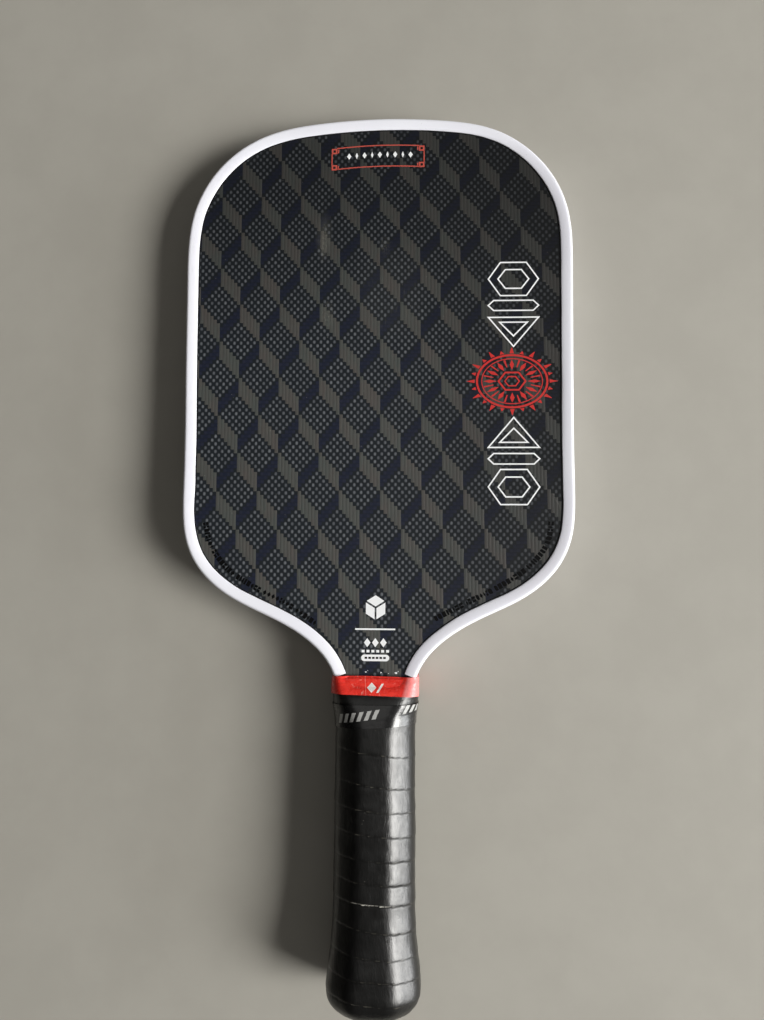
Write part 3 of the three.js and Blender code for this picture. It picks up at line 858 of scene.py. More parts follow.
def overgrip_material():
    mat = Shader("overgrip_pu")
    x, y, z = mat.xyz()
    below = mat.attribute("seam")           # distance below an edge
    above = mat.attribute("above")          # distance above the next edge
    girth = mat.attribute("girth")          # distance round the handle
    cloud = mat.noise(freq=0.05, rough=0.5).ramp(0.3, 0.7)
    color = mat.mix(cloud, srgb(3, 3, 3), srgb(7, 7, 7))
    wrap = mat.vector(girth * 1.0, y * 1.0, 0.0)
    grain = mat.noise(vector=wrap, freq=(1.6, 0.5, 1.0), detail=4, rough=0.62)
    dirt = mat.noise(vector=wrap, freq=(0.12, 0.2, 1.0), detail=4, rough=0.65).ramp(0.5, 0.75)
    color = mat.mix(dirt * 0.12, color, srgb(36, 35, 33))
    line = below.ramp(0.55, 0.05)
    color = mat.mix(line * 0.25, color, srgb(6, 6, 6))
    worn = mat.noise(vector=wrap, freq=(0.18, 0.18, 1.0), detail=4, rough=0.7)
    rim = above.ramp(0.6, 0.1) * worn.ramp(0.42, 0.62)
    # the edge's pale worn line is plainest across the front
    front = z.ramp(8.0, 12.0) * abs(x - 1.0).ramp(15.0, 11.0)
    color = mat.mix(rim * (0.30 + front * 0.36), color, srgb(104, 101, 92))
    # one frayed edge on the front, and a few pale nicks
    fray = (above.ramp(0.85, 0.1) * abs(x - FRAY_X).ramp(9.6, 8.2)
            * ((abs(y - FRAY_Y) < 3.2) * (z > 5.0)))
    threads = mat.noise(vector=wrap, freq=(1.3, 1.3, 1.0), rough=0.7).ramp(0.40, 0.55)
    color = mat.mix(fray * threads * 0.9, color, srgb(208, 205, 196))
    nick = mat.voronoi(vector=wrap, freq=(0.16, 0.16, 0.0)).ramp(0.05, 0.02) * 0.6
    color = mat.mix(nick, color, srgb(92, 90, 84))
    polish = mat.noise(vector=wrap, freq=(0.25, 0.10, 1.0), detail=4).ramp(0.3, 0.75)
    rough = 0.30 + polish * 0.11 + line * 0.10 + dirt * 0.08
    # pressed-in lengthwise wrinkles, fine grain and pin-prick pores
    wrinkle = mat.noise(vector=wrap, freq=(0.75, 0.16, 1.0), detail=4, distort=0.6)
    fine_wrinkle = mat.noise(vector=wrap, freq=(2.4, 0.45, 1.0))
    pore = mat.voronoi(vector=wrap, freq=(1.25, 1.25, 0.0), scatter=0.35).ramp(0.22, 0.08)
    height = wrinkle * 1.0 + fine_wrinkle * 0.45 + grain * 0.22 - pore * 0.10
    return mat.finish(color=color, rough=rough, spec=0.52, coat=0.20, coat_rough=0.26,
                      normal=mat.bump(height, strength=0.55, distance=0.00022))


def overgrip():
    heights = np.arange(WRAP_LOW, WRAP_HIGH + 0.01, 0.5)
    shape = rows, count = len(heights), 208
    sizes = sizes_at(GRIP, heights)
    girth = sections(sizes, GRIP_RADIUS, count)[2]
    share = np.arange(count) / count
    # turns of the wrap above each point; an edge wanders a little from a perfect helix
    turns = (np.interp(-heights[:, None], -SEAM_Y, np.arange(len(SEAM_Y)))
             + (share[None] - SEAM_SHARE))
    turns = turns + value_noise(shape, 3, (26, 9)) * 0.018
    part = turns - np.floor(turns)          # 0 to 1 downwards from each edge
    pitch = 1 / np.maximum(-np.gradient(turns, heights, axis=0), 1e-3)
    below = part * pitch
    above = (1 - part) * pitch
    # a turn's lower edge stands proud of the turn under it, then the wrap sinks again
    swell = 0.17 * smooth_step(0.0, 1.0, 1 - above / 8.0) + 0.08
    rolled_edge = 0.085 * smooth_step(1.1, 0.0, above)
    groove = 0.06 * np.exp(-(below / 0.6) ** 2)
    lift = swell - rolled_edge - groove - 0.12
    # soft creases
    lift += value_noise(shape, 5, (30, 26)) * 0.028 + value_noise(shape, 6, (70, 60)) * 0.014
    lift += value_noise(shape, 8, (9, 7)) * 0.05
    inside = (smooth_step(WRAP_LOW, -207.4, heights)[:, None]
              * smooth_step(WRAP_HIGH, -70.9, heights)[:, None])
    lift = lift * inside - 0.05 * (1 - inside)
    verts, faces = sleeve(heights, sizes, lift, 0.55, GRIP_RADIUS, inner_rows=40)

    def padded(values, fill):
        """The outer surface's values, then one fill value over the inner surface."""
        return np.r_[values.ravel(), np.full(len(verts) - rows * count, fill)]

    attrs = {"seam": padded(below, 9.0), "above": padded(above, 9.0),
             "girth": padded(share[None] * girth[:, None], 0.0)}
    make("overgrip_wrap", verts, faces, overgrip_material(), "overgrip",
         attrs=attrs, sharp_above=60)


overgrip()


# ---------------------------------------------------------------- neck tape
NECK_LOW, NECK_HIGH = -71.4, -63.4
# Columns as in GRIP
NECK = np.array([[NECK_HIGH, 20.2, 10.15, 2.6, 2.3], [-66.2, 20.25, 11.5, 3.2, 2.9],
                 [NECK_LOW, 20.2, 14.1, 4.6, 4.1]])


def neck_material():
    mat = Shader("neck_vinyl")
    x, y, z = mat.xyz()
    cloud = mat.noise(freq=(0.12, 0.3, 0.12)).ramp(0.3, 0.7)
    color = mat.mix(cloud, srgb(255, 62, 49), srgb(228, 42, 34))
    scratch = mat.noise(freq=(0.35, 3.2, 0.35), detail=5, rough=0.7, distort=0.8)
    scratch = scratch.ramp(0.57, 0.66)
    cross = mat.noise(freq=(2.2, 0.6, 1.0), detail=4, rough=0.7, distort=1.2).ramp(0.62, 0.70)
    color = mat.mix(scratch * 0.30, color, srgb(236, 112, 100))
    color = mat.mix(cross * 0.35, color, srgb(244, 160, 150))
    # the clear margin at the roll's end, on the right of the front
    clear = (x - (y + 67.0) * 0.25).ramp(13.2, 15.0) * z.ramp(1.5, 9.0)
    color = mat.mix(clear * 0.42, color, srgb(250, 190, 190))
    # the end of the clear film across the front with a painted highlight along it, and bright
    # creases beside it that are painted highlights, on the front only
    from_end = abs((x + 4.65) - (-61.34 - y) * 0.088)
    crease = mat.noise(freq=(0.5, 0.16, 0.5), detail=4, rough=0.7, distort=2.0)
    crease = crease.ramp(0.60, 0.645)
    front = (z > 0.0) * (x.ramp(-16.0, -9.0) * x.ramp(14.5, 10.0))
    color = mat.mix((z > 0.0) * from_end.ramp(0.22, 0.08) * 0.5, color, srgb(255, 172, 160))
    color = mat.mix(crease * front * 0.5, color, srgb(255, 176, 164))
    edges = y.ramp(-65.2, -63.8).largest(y.ramp(-69.6, -71.0))
    chips = mat.noise(freq=1.4).ramp(0.69, 0.73) * edges
    color = mat.mix(chips, color, srgb(238, 214, 190))
    # a printed lozenge with a short leaning bar
    lozenge = abs(x + 1.3) * (1 / 2.1) + abs(y + 68.0) * (1 / 2.2) < 1.0
    leaning = x - (y + 68.2) * 0.62
    bar = (abs(leaning - 2.55) < 0.55) * (abs(y + 68.2) < 1.9)
    color = mat.mix(lozenge.largest(bar) * (z > 0.0) * 0.97, color, srgb(255, 253, 250))
    smear = mat.noise(freq=0.7, detail=4, rough=0.65).ramp(0.4, 0.7)
    rough = 0.20 + smear * 0.16 + scratch.largest(cross) * 0.2 + 0.06
    wrinkle = mat.noise(freq=(0.5, 0.9, 0.5), detail=4, distort=1.4)
    height = wrinkle * 1.0 + scratch * -0.12
    return mat.finish(color=color, rough=rough, spec=0.5, coat=0.65, coat_rough=0.14,
                      normal=mat.bump(height, strength=0.5, distance=0.0004))


def neck_tape():
    radius = 3.0
    heights = np.arange(NECK_LOW, NECK_HIGH + 0.01, 0.25)
    shape = rows, count = len(heights), 224
    sizes = sizes_at(NECK, heights, sigma=0.8)
    share = np.arange(count) / count
    lift = value_noise(shape, 21, (6, 30)) * 0.06 + value_noise(shape, 22, (14, 90)) * 0.025
    tuck = value_noise(shape, 24, (5, 22))
    lift = lift + 0.035 * np.exp(-(tuck / 0.22) ** 2) * (
        0.4 + 0.6 * smooth_step(-0.6, 0.8, value_noise(shape, 25, (4, 12))))
    # wrinkles where the tape bridges between the guard's arms
    lift = lift * (0.6 + 0.8 * smooth_step(-67.5, NECK_HIGH, heights)[:, None])
    # the overlapping end on the right
    lift += 0.10 * smooth_step(0.075, 0.085, share)[None] * smooth_step(0.36, 0.13, share)[None]
    # between the arms, the front and back edges dip on to the faces
    rings = sections(sizes, radius, count)[0]
    dip = (smooth_step(16.6, 7.5, np.abs(rings[..., 0]))
           * smooth_step(-69.8, -63.5, heights)[:, None])
    thick = 0.45 + 0.55 * smooth_step(-64.6, -63.6, heights)
    verts, faces = sleeve(heights, sizes, lift - dip * 2.1, thick, radius, inner_rows=rows)
    # the strip was wound by hand: its edges lean
    lean = (0.6 * np.cos(2 * np.pi * share)[None]
            * smooth_step(-64.5, NECK_LOW, heights)[:, None]
            + 0.25 * np.sin(4 * np.pi * share + 0.8)[None]
            * smooth_step(-66.0, NECK_HIGH, heights)[:, None])
    verts = verts.reshape(2, rows, count, 3)
    verts[..., 1] -= lean
    make("neck_tape_band", verts.reshape(-1, 3), faces, neck_material(),
         "neck_tape", sharp_above=60)


neck_tape()


# ---------------------------------------------------------------- finishing tape
TAPE = GRIP[(GRIP[:, 0] < -70) & (GRIP[:, 0] > -140)]
TAPE[:, 1:3] += 0.38            # it lies over the wrap


def tape_material():
    mat = Shader("finishing_tape")
    _, y, _ = mat.xyz()
    cloud = mat.noise(freq=0.2).ramp(0.3, 0.7)
    color = mat.mix(cloud, srgb(11, 11, 12), srgb(17, 17, 18))
    scuff = mat.noise(freq=(1.2, 0.5, 1.2), detail=5, rough=0.7, distort=0.8).ramp(0.60, 0.70)
    color = mat.mix(scuff * 0.25, color, srgb(66, 66, 66))
    edge = y.ramp(-84.6, -85.3).largest(y.ramp(-76.4, -75.7))
    color = mat.mix(edge * 0.5, color, srgb(5, 5, 5))
    # two printed runs of slanted stripes
    girth = mat.attribute("girth")
    rise = (y + 83.9) - (girth + 16.0) * 0.15
    leaning = (girth - rise * 0.45) + 18.6
    stripe = (leaning % 3.5 < 1.9) * ((rise > 0.0) * (rise < 3.9))
    first_run = (leaning > 0.0) * (leaning < 19.4)
    second_run = (leaning > 31.4) * (leaning < 40.4)
    mark = stripe * first_run.largest(second_run)
    color = mat.mix(mark * 0.95, color, srgb(172, 172, 170))
    smear = mat.noise(freq=0.6, detail=4, rough=0.65).ramp(0.4, 0.75)
    wrinkle = mat.noise(freq=(0.25, 0.55, 0.25), rough=0.55, distort=1.0)
    return mat.finish(color=color, rough=0.16 + smear * 0.10 + 0.06, spec=0.5, coat=0.4,
                      coat_rough=0.2, normal=mat.bump(wrinkle, strength=0.15, distance=0.0003))


def finishing_tape():
    shape = rows, count = 41, 224
    rise = np.linspace(0, 1, rows)
    share = np.arange(count) / count
    # both edges wander: the strip was wound by hand
    low = -85.45 + 0.85 * np.cos(2 * np.pi * share)
    low = np.maximum(low + value_noise((2, count), 31, (1, 9))[0] * 0.08, -86.5)
    high = -75.75 + 0.22 * np.sin(2 * np.pi * (share + 0.05))
    high = np.minimum(high + value_noise((2, count), 32, (1, 9))[0] * 0.08, -75.35)
    heights = low[None] + (high - low)[None] * rise[:, None]
    grid = np.linspace(-87.0, -74.9, 64)
    rings, ring_normals, girths = sections(sizes_at(TAPE, grid, sigma=1.2), GRIP_RADIUS, count)
    girth = girths[30]
    surface = np.zeros((rows, count, 2))
    normals = np.zeros((rows, count, 2))
    for i in range(count):
        for axis in (0, 1):
            surface[:, i, axis] = np.interp(heights[:, i], grid, rings[:, i, axis])
            normals[:, i, axis] = np.interp(heights[:, i], grid, ring_normals[:, i, axis])
    lift = value_noise(shape, 33, (4, 16)) * 0.03 + value_noise(shape, 34, (12, 60)) * 0.006
    # the overlapping end
    lift += 0.14 * smooth_step(0.055, 0.062, share)[None] * smooth_step(0.5, 0.08, share)[None]
    # diagonal creases where it was stretched over the bevels
    crease = np.abs(((share[None] * 9 + rise[:, None] * 1.1) % 1) - 0.5)
    lift -= (0.018 * np.exp(-(crease / 0.08) ** 2)
             * smooth_step(0.0, 0.6, value_noise(shape, 35, (3, 9))))
    verts = np.concatenate([ring_points(surface + normals * (lift + 0.02)[..., None], heights),
                            ring_points(surface - normals * 0.22, heights)])
    base, last = rows * count, (rows - 1) * count
    faces = []
    for start in range(0, last, count):
        faces += strip(start, start + count, count)
        faces += strip(base + start, base + start + count, count, flip=True)
    faces += strip(0, base, count, flip=True)
    faces += strip(last, base + last, count)
    # distance round the handle to the right of the front's middle
    around = np.tile((0.25 - share) * girth, 2 * rows)
    around = np.where(around < -girth / 2, around + girth, around)
    make("finishing_tape_band", verts, faces, tape_material(), "overgrip_tape",
         attrs={"girth": around}, sharp_above=60)


finishing_tape()


# ---------------------------------------------------------------- printed marks
def ink(name, color, rough=0.42, spec=0.5):
    def darker(factor):
        return tuple(level * factor for level in color[:3]) + (1.0,)

    mat = Shader(name)
    wear = mat.noise(freq=0.9, detail=5, rough=0.7).ramp(0.60, 0.74)
    shade = mat.mix(wear * 0.22, color, darker(0.55))
    cloud = mat.noise(freq=0.62)
    shade = mat.mix(cloud * 0.10, shade, darker(0.8))
    grit = mat.noise(freq=3.0, rough=0.65)
    return mat.finish(color=shade, rough=rough + cloud * 0.12, spec=spec,
                      normal=mat.bump(grit, strength=0.35, distance=0.00005))


WHITE = ink("ink_white", srgb(236, 238, 240))
RED = ink("ink_red", srgb(190, 40, 36))
DULL = ink("ink_dull_red", srgb(186, 78, 66))
BLACK = ink("ink_black", srgb(5, 5, 6), rough=0.55, spec=0.10)


def ellipse(x, y, radius_x, radius_y, count):
    t = np.linspace(0, 2 * math.pi, count, endpoint=False)
    return np.c_[x + radius_x * np.cos(t), y + radius_y * np.sin(t)]


def half_circle(x, y, radius, start):
    t = np.linspace(start, start + math.pi, 14)
    return np.c_[x + radius * np.cos(t), y + radius * np.sin(t)]


def lozenge(x, y, half_width, half_height):
    return [(x - half_width, y), (x, y - half_height), (x + half_width, y), (x, y + half_height)]


def box(x, y, width, height):
    """A rectangle from its lower left corner."""
    return [(x, y), (x + width, y), (x + width, y + height), (x, y + height)]


def shrink(outline, distance):
    """A counter-clockwise outline moved in by a distance."""
    points = np.asarray(outline, float)
    moved = []
    for i, point in enumerate(points):
        first = turn_left(unit(point - points[i - 1]))
        second = turn_left(unit(points[(i + 1) % len(points)] - point))
        mitre = unit(first + second)
        moved.append(point + mitre * distance / max(mitre @ first, 0.3))
    return np.array(moved)


def top_badge(white, dull):
    """An arched frame with little corner squares and a row of lozenges."""
    left, right, low, high = -23.3, 22.3, 183.35, 194.25
    line, corner_line, tick_line = 0.55, 0.75, 0.5

    def arch(x, y):
        return y + 1.15 * (1 - (x / 23.5) ** 2) + 0.019 * x

    for y in (high, low):
        dull.ribbon([(x, arch(x, y)) for x in np.linspace(left + 2.4, right - 2.4, 13)], line)
    for inward, side in ((1, left), (-1, right)):
        dull.ribbon([(side, arch(side, low + 2.4)), (side, arch(side, high - 2.4))], line)
        for upward, edge in ((1, low), (-1, high)):
            x, y = side + inward * 1.2, arch(side, edge + upward * 1.2)
            dull.ribbon(box(x - 1.0, y - 1.0, 2.0, 2.0), corner_line, closed=True)
            tick = x + inward * 1.95
            dull.ribbon([(tick, y - 0.9), (tick, y + 0.9)], tick_line)
    x = -15.9
    for width in (2.2, 1.3, 2.2, 1.3, 2.2, 1.3, 2.2, 1.3, 2.2):
        middle = x + width / 2
        white.prism(lozenge(middle, arch(middle, 189.4), width / 2, 1.65))
        x += width + 2.05


def side_column(white):
    """Outlined hexagons, bars and triangles, mirrored above and below the rosette."""
    left, right = 52.9, 77.0
    middle = (left + right) / 2

    def outline(points):
        white.ribbon([(x + (y - 75) * 0.008, y) for x, y in points], 0.68, closed=True)

    def hexagon(y, half_width, half_height):
        slope = half_width * 0.52
        outline([(middle - half_width, y), (middle - slope, y + half_height),
                 (middle + slope, y + half_height), (middle + half_width, y),
                 (middle + slope, y - half_height), (middle - slope, y - half_height)])

    def triangle(y, half_width, half_height, up):
        outline([(middle - half_width, y - half_height * up), (middle, y + half_height * up),
                 (middle + half_width, y - half_height * up)])

    # direction away from the rosette; heights of hexagons, bar and triangles
    for away, hexagon_y, bar_y, triangle_y in ((1, 125.9, 112.7, 99.6), (-1, 24.6, 38.0, 50.6)):
        hexagon(hexagon_y, 12.0, 8.3)
        hexagon(hexagon_y, 7.4, 4.7)
        outline([(left, bar_y), (left + 2.6, bar_y + 2.5), (right - 2.6, bar_y + 2.5),
                 (right, bar_y), (right - 2.6, bar_y - 2.5), (left + 2.6, bar_y - 2.5)])
        triangle(triangle_y, 12.0, 7.2, -away)
        triangle(triangle_y + away * 1.35, 6.6, 3.4, -away)


def rosette(red):
    """An oval sunburst of rings, lozenges and rays."""
    x, y = 64.2, 75.4
    stretch_x, stretch_y = 1.14, 0.87
    # radius, line width, points
    for radius, line, count in ((14.6, 0.95, 90), (12.6, 0.45, 90), (5.6, 0.8, 6), (3.0, 0.6, 6)):
        ring = ellipse(x, y, radius * stretch_x, radius * stretch_y, count)
        red.ribbon(ring, line, closed=True)

    def ray(angle, points):
        """A shape from (distance out, distance sideways) points."""
        cos, sin = math.cos(angle), math.sin(angle)
        red.prism([(x + (out * cos - side * sin) * stretch_x,
                    y + (out * sin + side * cos) * stretch_y) for out, side in points])

    for i in range(12):
        angle = i * math.pi / 6
        ray(angle, [(6.4, 0.0), (9.2, -0.95), (12.0, 0.0), (9.2, 0.95)])
        ray(angle + math.pi / 12, [(8.0, -0.22), (12.1, -0.42), (12.1, 0.42), (8.0, 0.22)])
    for i in range(24):
        tip = 17.3 if i % 2 else 18.9
        ray(i * math.pi / 12, [(15.6, -0.95), (tip, -0.12), (tip, 0.12), (15.6, 0.95)])


def throat_marks(white, black):
    """From the top: a cube of three lozenges, a rule, lozenges, little blocks and a pill."""
    cube_y, radius = -32.0, 5.7
    corners = []
    for i in range(6):
        angle = math.radians(90 + 60 * i)
        corners.append((radius * math.cos(angle), cube_y + radius * 1.08 * math.sin(angle)))
    for i in (0, 2, 4):
        side = [corners[i], corners[i + 1], (0.0, cube_y), corners[i - 1]]
        white.prism(shrink(side, 0.42))
    white.ribbon([(-9.4, -41.95), (9.2, -41.95)], 0.75)
    for x in (-3.75, 0.0, 3.75):
        white.prism(lozenge(x, -48.1, 1.55, 2.1))
    for x in np.linspace(-6.3, 5.0, 6):
        white.prism(box(x, -52.6, 1.35, 1.2))
    white.prism(np.r_[half_circle(5.0, -55.05, 1.5, -math.pi / 2),
                      half_circle(-5.0, -55.05, 1.5, math.pi / 2)])
    for x in np.linspace(-4.9, 3.7, 6):
        black.prism(box(x, -55.5, 1.2, 0.9), PRINT_HIGH + 0.002, PRINT_HIGH + 0.02)


# Lines that follow the guard on the left and right of the throat: x, y
TRACKS = (
    [(-81.24, 7.53), (-78.22, -3.24), (-69.83, -14.52), (-56.88, -22.97), (-41.61, -30.49),
     (-27.23, -39.99)],
    [(27.38, -37.03), (44.42, -28.4), (55.84, -22.66), (68.15, -15.02), (76.78, -6.42),
     (80.44, 0.71), (81.74, 9.81)])


def track_shapes(kind, width, half):
    """A block, a lozenge, two bars or a block with two cut corners."""
    if kind == 0:
        return [box(0, -half, width, 2 * half)]
    if kind == 1:
        return [lozenge(width / 2, 0, width / 2, half)]
    if kind == 2:
        return [[(0, -half), (width, -half), (width, -0.2), (0, -0.2)],
                [(0, 0.2), (width, 0.2), (width, half), (0, half)]]
    return [[(0, -half * 0.5), (width * 0.3, -half), (width, -half),
             (width, half * 0.5), (width * 0.7, half), (0, half)]]


def throat_tracks(black):
    """Rows of small black shapes in groups of eight, beside the guard."""
    for number, track in enumerate(TRACKS):
        track = np.array(track, float)
        curve = catmull(track, 2 * track[0] - track[1], per=40)
        length = arc_length(curve)[-1]
        random = np.random.default_rng(40 + number)
        distance, placed = 0.0, 0
        while distance < length - 2.0:
            width = float(random.choice([0.9, 1.4, 1.8]))
            kind = int(random.integers(0, 4))
            placed += 1
            start = along(curve, distance)
            forward = unit(along(curve, distance + width) - start)
            sideways = turn_left(forward)
            for shape in track_shapes(kind, width, 1.3):
                black.prism([tuple(start + forward * a + sideways * b) for a, b in shape])
            distance += width + (0.42 if placed % 8 else 1.5)


# Flecks of torn film on the face above the neck tape: x, y, radius, turn
FLECKS = ((-4.3, -61.5, 0.55, 0.4), (-3.4, -60.8, 0.24, 1.0), (2.8, -61.7, 0.58, 2.0),
          (9.6, -61.8, 0.88, 0.9), (10.6, -61.1, 0.3, 0.2), (6.1, -62.1, 0.3, 1.7))
# Their ragged outline: angle, share of the radius
FLECK_OUTLINE = ((0.0, 1.0), (1.1, 0.6), (2.0, 0.95), (3.1, 0.55), (4.2, 0.9), (5.3, 0.65))


def flecks(white):
    for x, y, radius, turn in FLECKS:
        white.prism([(x + radius * share * math.cos(turn + angle),
                      y + radius * share * 0.7 * math.sin(turn + angle))
                     for angle, share in FLECK_OUTLINE])


def face_prints():
    white, red, black, dull = Solid(), Solid(), Solid(), Solid()
    top_badge(white, dull)
    side_column(white)
    rosette(red)
    throat_marks(white, black)
    throat_tracks(black)
    flecks(white)
    white.build("print_white", WHITE, "guard")
    red.build("print_red", RED, "neck_tape")
    black.build("print_black", BLACK, "black_tape")
    dull.build("print_frame", DULL, "neck_tape")


face_prints()


# ---------------------------------------------------------------- butt cap and plug
FLARE_DEPTH = 2.47              # how far the flare lies under the grip's surface
SIGN_Y = -209.3                 # the plug's sunk end
# Rings: y, half width, half depth, bevel cut along x, along z, corner radius
CAP_SLEEVE = [(-203.4, 15.05, 12.15, 7.9, 6.7, 1.7), (-179.0, 15.05, 12.15, 7.9, 6.7, 1.7),
              (-179.0, 16.3, 13.3, 8.3, 7.0, 1.9)]
CAP_FLARE_Y = np.array([-185, -190, -194, -197, -199.5, -201.5, -203.5, -205.3])
CAP_END = [
    (-206.5, 18.2, 15.2, 9.0, 7.8, 2.6), (-207.5, 17.75, 14.75, 8.9, 7.7, 2.8),
    (-208.2, 17.2, 14.2, 8.7, 7.5, 2.8), (-208.7, 16.5, 13.5, 8.4, 7.2, 2.8),
    (-208.95, 15.8, 12.8, 8.0, 6.8, 2.8), (-209.0, 15.2, 12.2, 7.7, 6.5, 2.8),
    (-209.0, 12.1, 9.6, 6.0, 5.0, 2.4), (-208.95, 11.7, 9.2, 5.8, 4.8, 2.4),
    (-208.75, 11.45, 8.95, 5.65, 4.65, 2.4), (-207.8, 11.4, 8.9, 5.6, 4.6, 2.4)]
PLUG = [
    (-207.85, 11.25, 8.75, 5.5, 4.5, 2.3), (-209.2, 11.25, 8.75, 5.5, 4.5, 2.3),
    (-209.42, 11.12, 8.62, 5.45, 4.45, 2.3), (-209.52, 10.85, 8.35, 5.3, 4.3, 2.3),
    (-209.55, 10.5, 8.0, 5.15, 4.15, 2.2), (-209.55, 9.6, 7.1, 4.7, 3.7, 2.0),
    (-209.45, 9.4, 6.9, 4.6, 3.6, 2.0), (SIGN_Y, 9.25, 6.75, 4.5, 3.5, 2.0)]


def cap_material():
    mat = Shader("butt_rubber")
    cloud = mat.noise(scale=1.2, detail=4)
    grain = mat.noise(scale=5.0)
    color = mat.mix(cloud.ramp(0.3, 0.7), srgb(30, 30, 31), srgb(42, 42, 43))
    wear = mat.noise(scale=0.5, detail=4, rough=0.7).ramp(0.55, 0.7)
    color = mat.mix(wear * 0.4, color, srgb(88, 86, 82))
    return mat.finish(color=color, rough=0.5 + cloud * 0.2,
                      normal=mat.bump(cloud + grain * 0.5, strength=0.4, distance=0.00015))


def plug_material():
    mat = Shader("butt_plug_gloss")
    cloud = mat.noise(scale=0.9, detail=4)
    color = mat.mix(cloud.ramp(0.3, 0.7), srgb(176, 26, 24), srgb(150, 20, 20))
    scratch = mat.noise(freq=(0.6, 0.6, 3.0), detail=5, rough=0.75, distort=1.0)
    scratch = scratch.ramp(0.60, 0.68)
    color = mat.mix(scratch * 0.35, color, srgb(206, 120, 110))
    return mat.finish(color=color, rough=0.24 + scratch * 0.25, coat=0.4, coat_rough=0.15,
                      normal=mat.bump(cloud, strength=0.3, distance=0.00012))


def dress(node, material):
    """Gives a CAD piece its own finish."""
    materials = frame["nodes"][node].data.materials
    materials.clear()
    materials.append(material)


def moulding(name, rows, material, node):
    """A body through a list of rings, closed at both ends."""
    count = 128
    verts = []
    for y, *sizes in rows:
        ring = section(*sizes, count)[0]
        verts.append(np.c_[ring[:, 0], np.full(count, y), ring[:, 1]])
    verts.append([[0, rows[0][0], 0], [0, rows[-1][0], 0]])
    last = (len(rows) - 1) * count
    first_pole = last + count
    faces = []
    for start in range(0, last, count):
        faces += strip(start, start + count, count)
    pairs = [(i, (i + 1) % count) for i in range(count)]
    faces += [(j, i, first_pole) for i, j in pairs]
    faces += [(last + i, last + j, first_pole + 1) for i, j in pairs]
    make(name, np.concatenate(verts), faces, material, node, sharp_above=40)


def butt():
    cap, plug = cap_material(), plug_material()
    dress("butt_cap", cap)
    flare = [(y, half_x - FLARE_DEPTH, half_z - FLARE_DEPTH, cut_x - FLARE_DEPTH * 0.6,
              cut_z - FLARE_DEPTH * 0.57, 2.2)
             for y, (half_x, half_z, cut_x, cut_z)
             in zip(CAP_FLARE_Y, sizes_at(GRIP, CAP_FLARE_Y, sigma=0.8))]
    moulding("butt_cap_moulding", CAP_SLEEVE + flare + CAP_END, cap, "butt_cap")
    moulding("butt_plug_moulding", PLUG, plug, "butt_cap_plug")
    # a raised hexagon outline round a lozenge
    sign = Solid(upright=True)
    low, high = SIGN_Y + 0.004, SIGN_Y - 0.18
    sign.ribbon(ellipse(0, 0, 4.3 * 1.15, 4.3, 6), 0.9, closed=True, low=low, high=high)
    sign.prism([(0.0, -1.5), (1.7, 0.0), (0.0, 1.5), (-1.7, 0.0)], low, high)
    sign.build("butt_plug_sign", WHITE, "guard")


butt()


# ---------------------------------------------------------------- inner CAD pieces
def foam_material():
    mat = Shader("foam_cells")
    cells = mat.voronoi(scale=1.8)
    cloud = mat.noise(scale=0.3, rough=0.5).ramp(0.3, 0.7)
    color = mat.mix(cells.ramp(0.0, 0.6), srgb(206, 182, 128), srgb(228, 208, 158))
    color = mat.mix(cloud * 0.3, color, srgb(196, 168, 112))
    return mat.finish(color=color, rough=0.85,
                      normal=mat.bump(cells, strength=0.5, distance=0.0004))


def twill_material():
    mat = Shader("carbon_twill")
    x, y, _ = mat.xyz()
    rising, falling = ((x + y) * (math.pi / 2)).sin(), ((x - y) * (math.pi / 2)).sin()
    check = (rising * falling).ramp(-0.4, 0.4)
    filament = mat.noise(freq=(4.0, 4.0, 1.0))
    return mat.finish(color=mat.mix(check, srgb(20, 21, 23), srgb(38, 39, 42)),
                      rough=0.32 + filament * 0.2,
                      normal=mat.bump(check + filament * 0.4, strength=0.4, distance=0.0001))


def scrim_material():
    mat = Shader("scrim_fibre")
    lengthwise = mat.noise(freq=(2.5, 0.4, 1.0), detail=4, rough=0.7, distort=1.5)
    crosswise = mat.noise(freq=(0.4, 2.5, 1.0), detail=4, rough=0.7, distort=1.5)
    fibres = lengthwise.ramp(0.5, 0.65).largest(crosswise.ramp(0.5, 0.65))
    return mat.finish(color=mat.mix(fibres, srgb(176, 172, 150), srgb(212, 208, 190)),
                      rough=0.8, normal=mat.bump(fibres, strength=0.4, distance=0.0001))


def comb_material():
    mat = Shader("comb_plastic")
    cloud = mat.noise(scale=0.6, detail=4).ramp(0.3, 0.7)
    film = mat.noise(freq=(1.0, 1.0, 0.15), scale=2.0)
    return mat.finish(color=mat.mix(cloud, srgb(222, 226, 226), srgb(204, 210, 212)),
                      rough=0.42 + film * 0.2,
                      normal=mat.bump(film, strength=0.3, distance=0.0002))


for inner_material, inner_nodes in (
    (foam_material(), ("perimeter_foam", "handle_core", "handle_pallet_front",
                       "handle_pallet_back")),
    (twill_material(), ("carbon_ply_front", "carbon_ply_back", "edge_wrap")),
    (scrim_material(), ("core_scrim_front", "core_scrim_back")),
    (comb_material(), ("honeycomb_core",)),
):
    for inner_node in inner_nodes:
        dress(inner_node, inner_material)


# ---------------------------------------------------------------- base grip
WRAP_DEPTH = 0.76               # how far the cushion lies under the overgrip's surface
# Columns as in GRIP
CUSHION_NECK = [[-66.2, 18.9, 10.5, 3.4, 3.2], [-69.0, 19.0, 11.7, 4.4, 3.9]]
CUSHION_END = [[-207.0, 19.0, 16.0, 10.2, 8.4]]


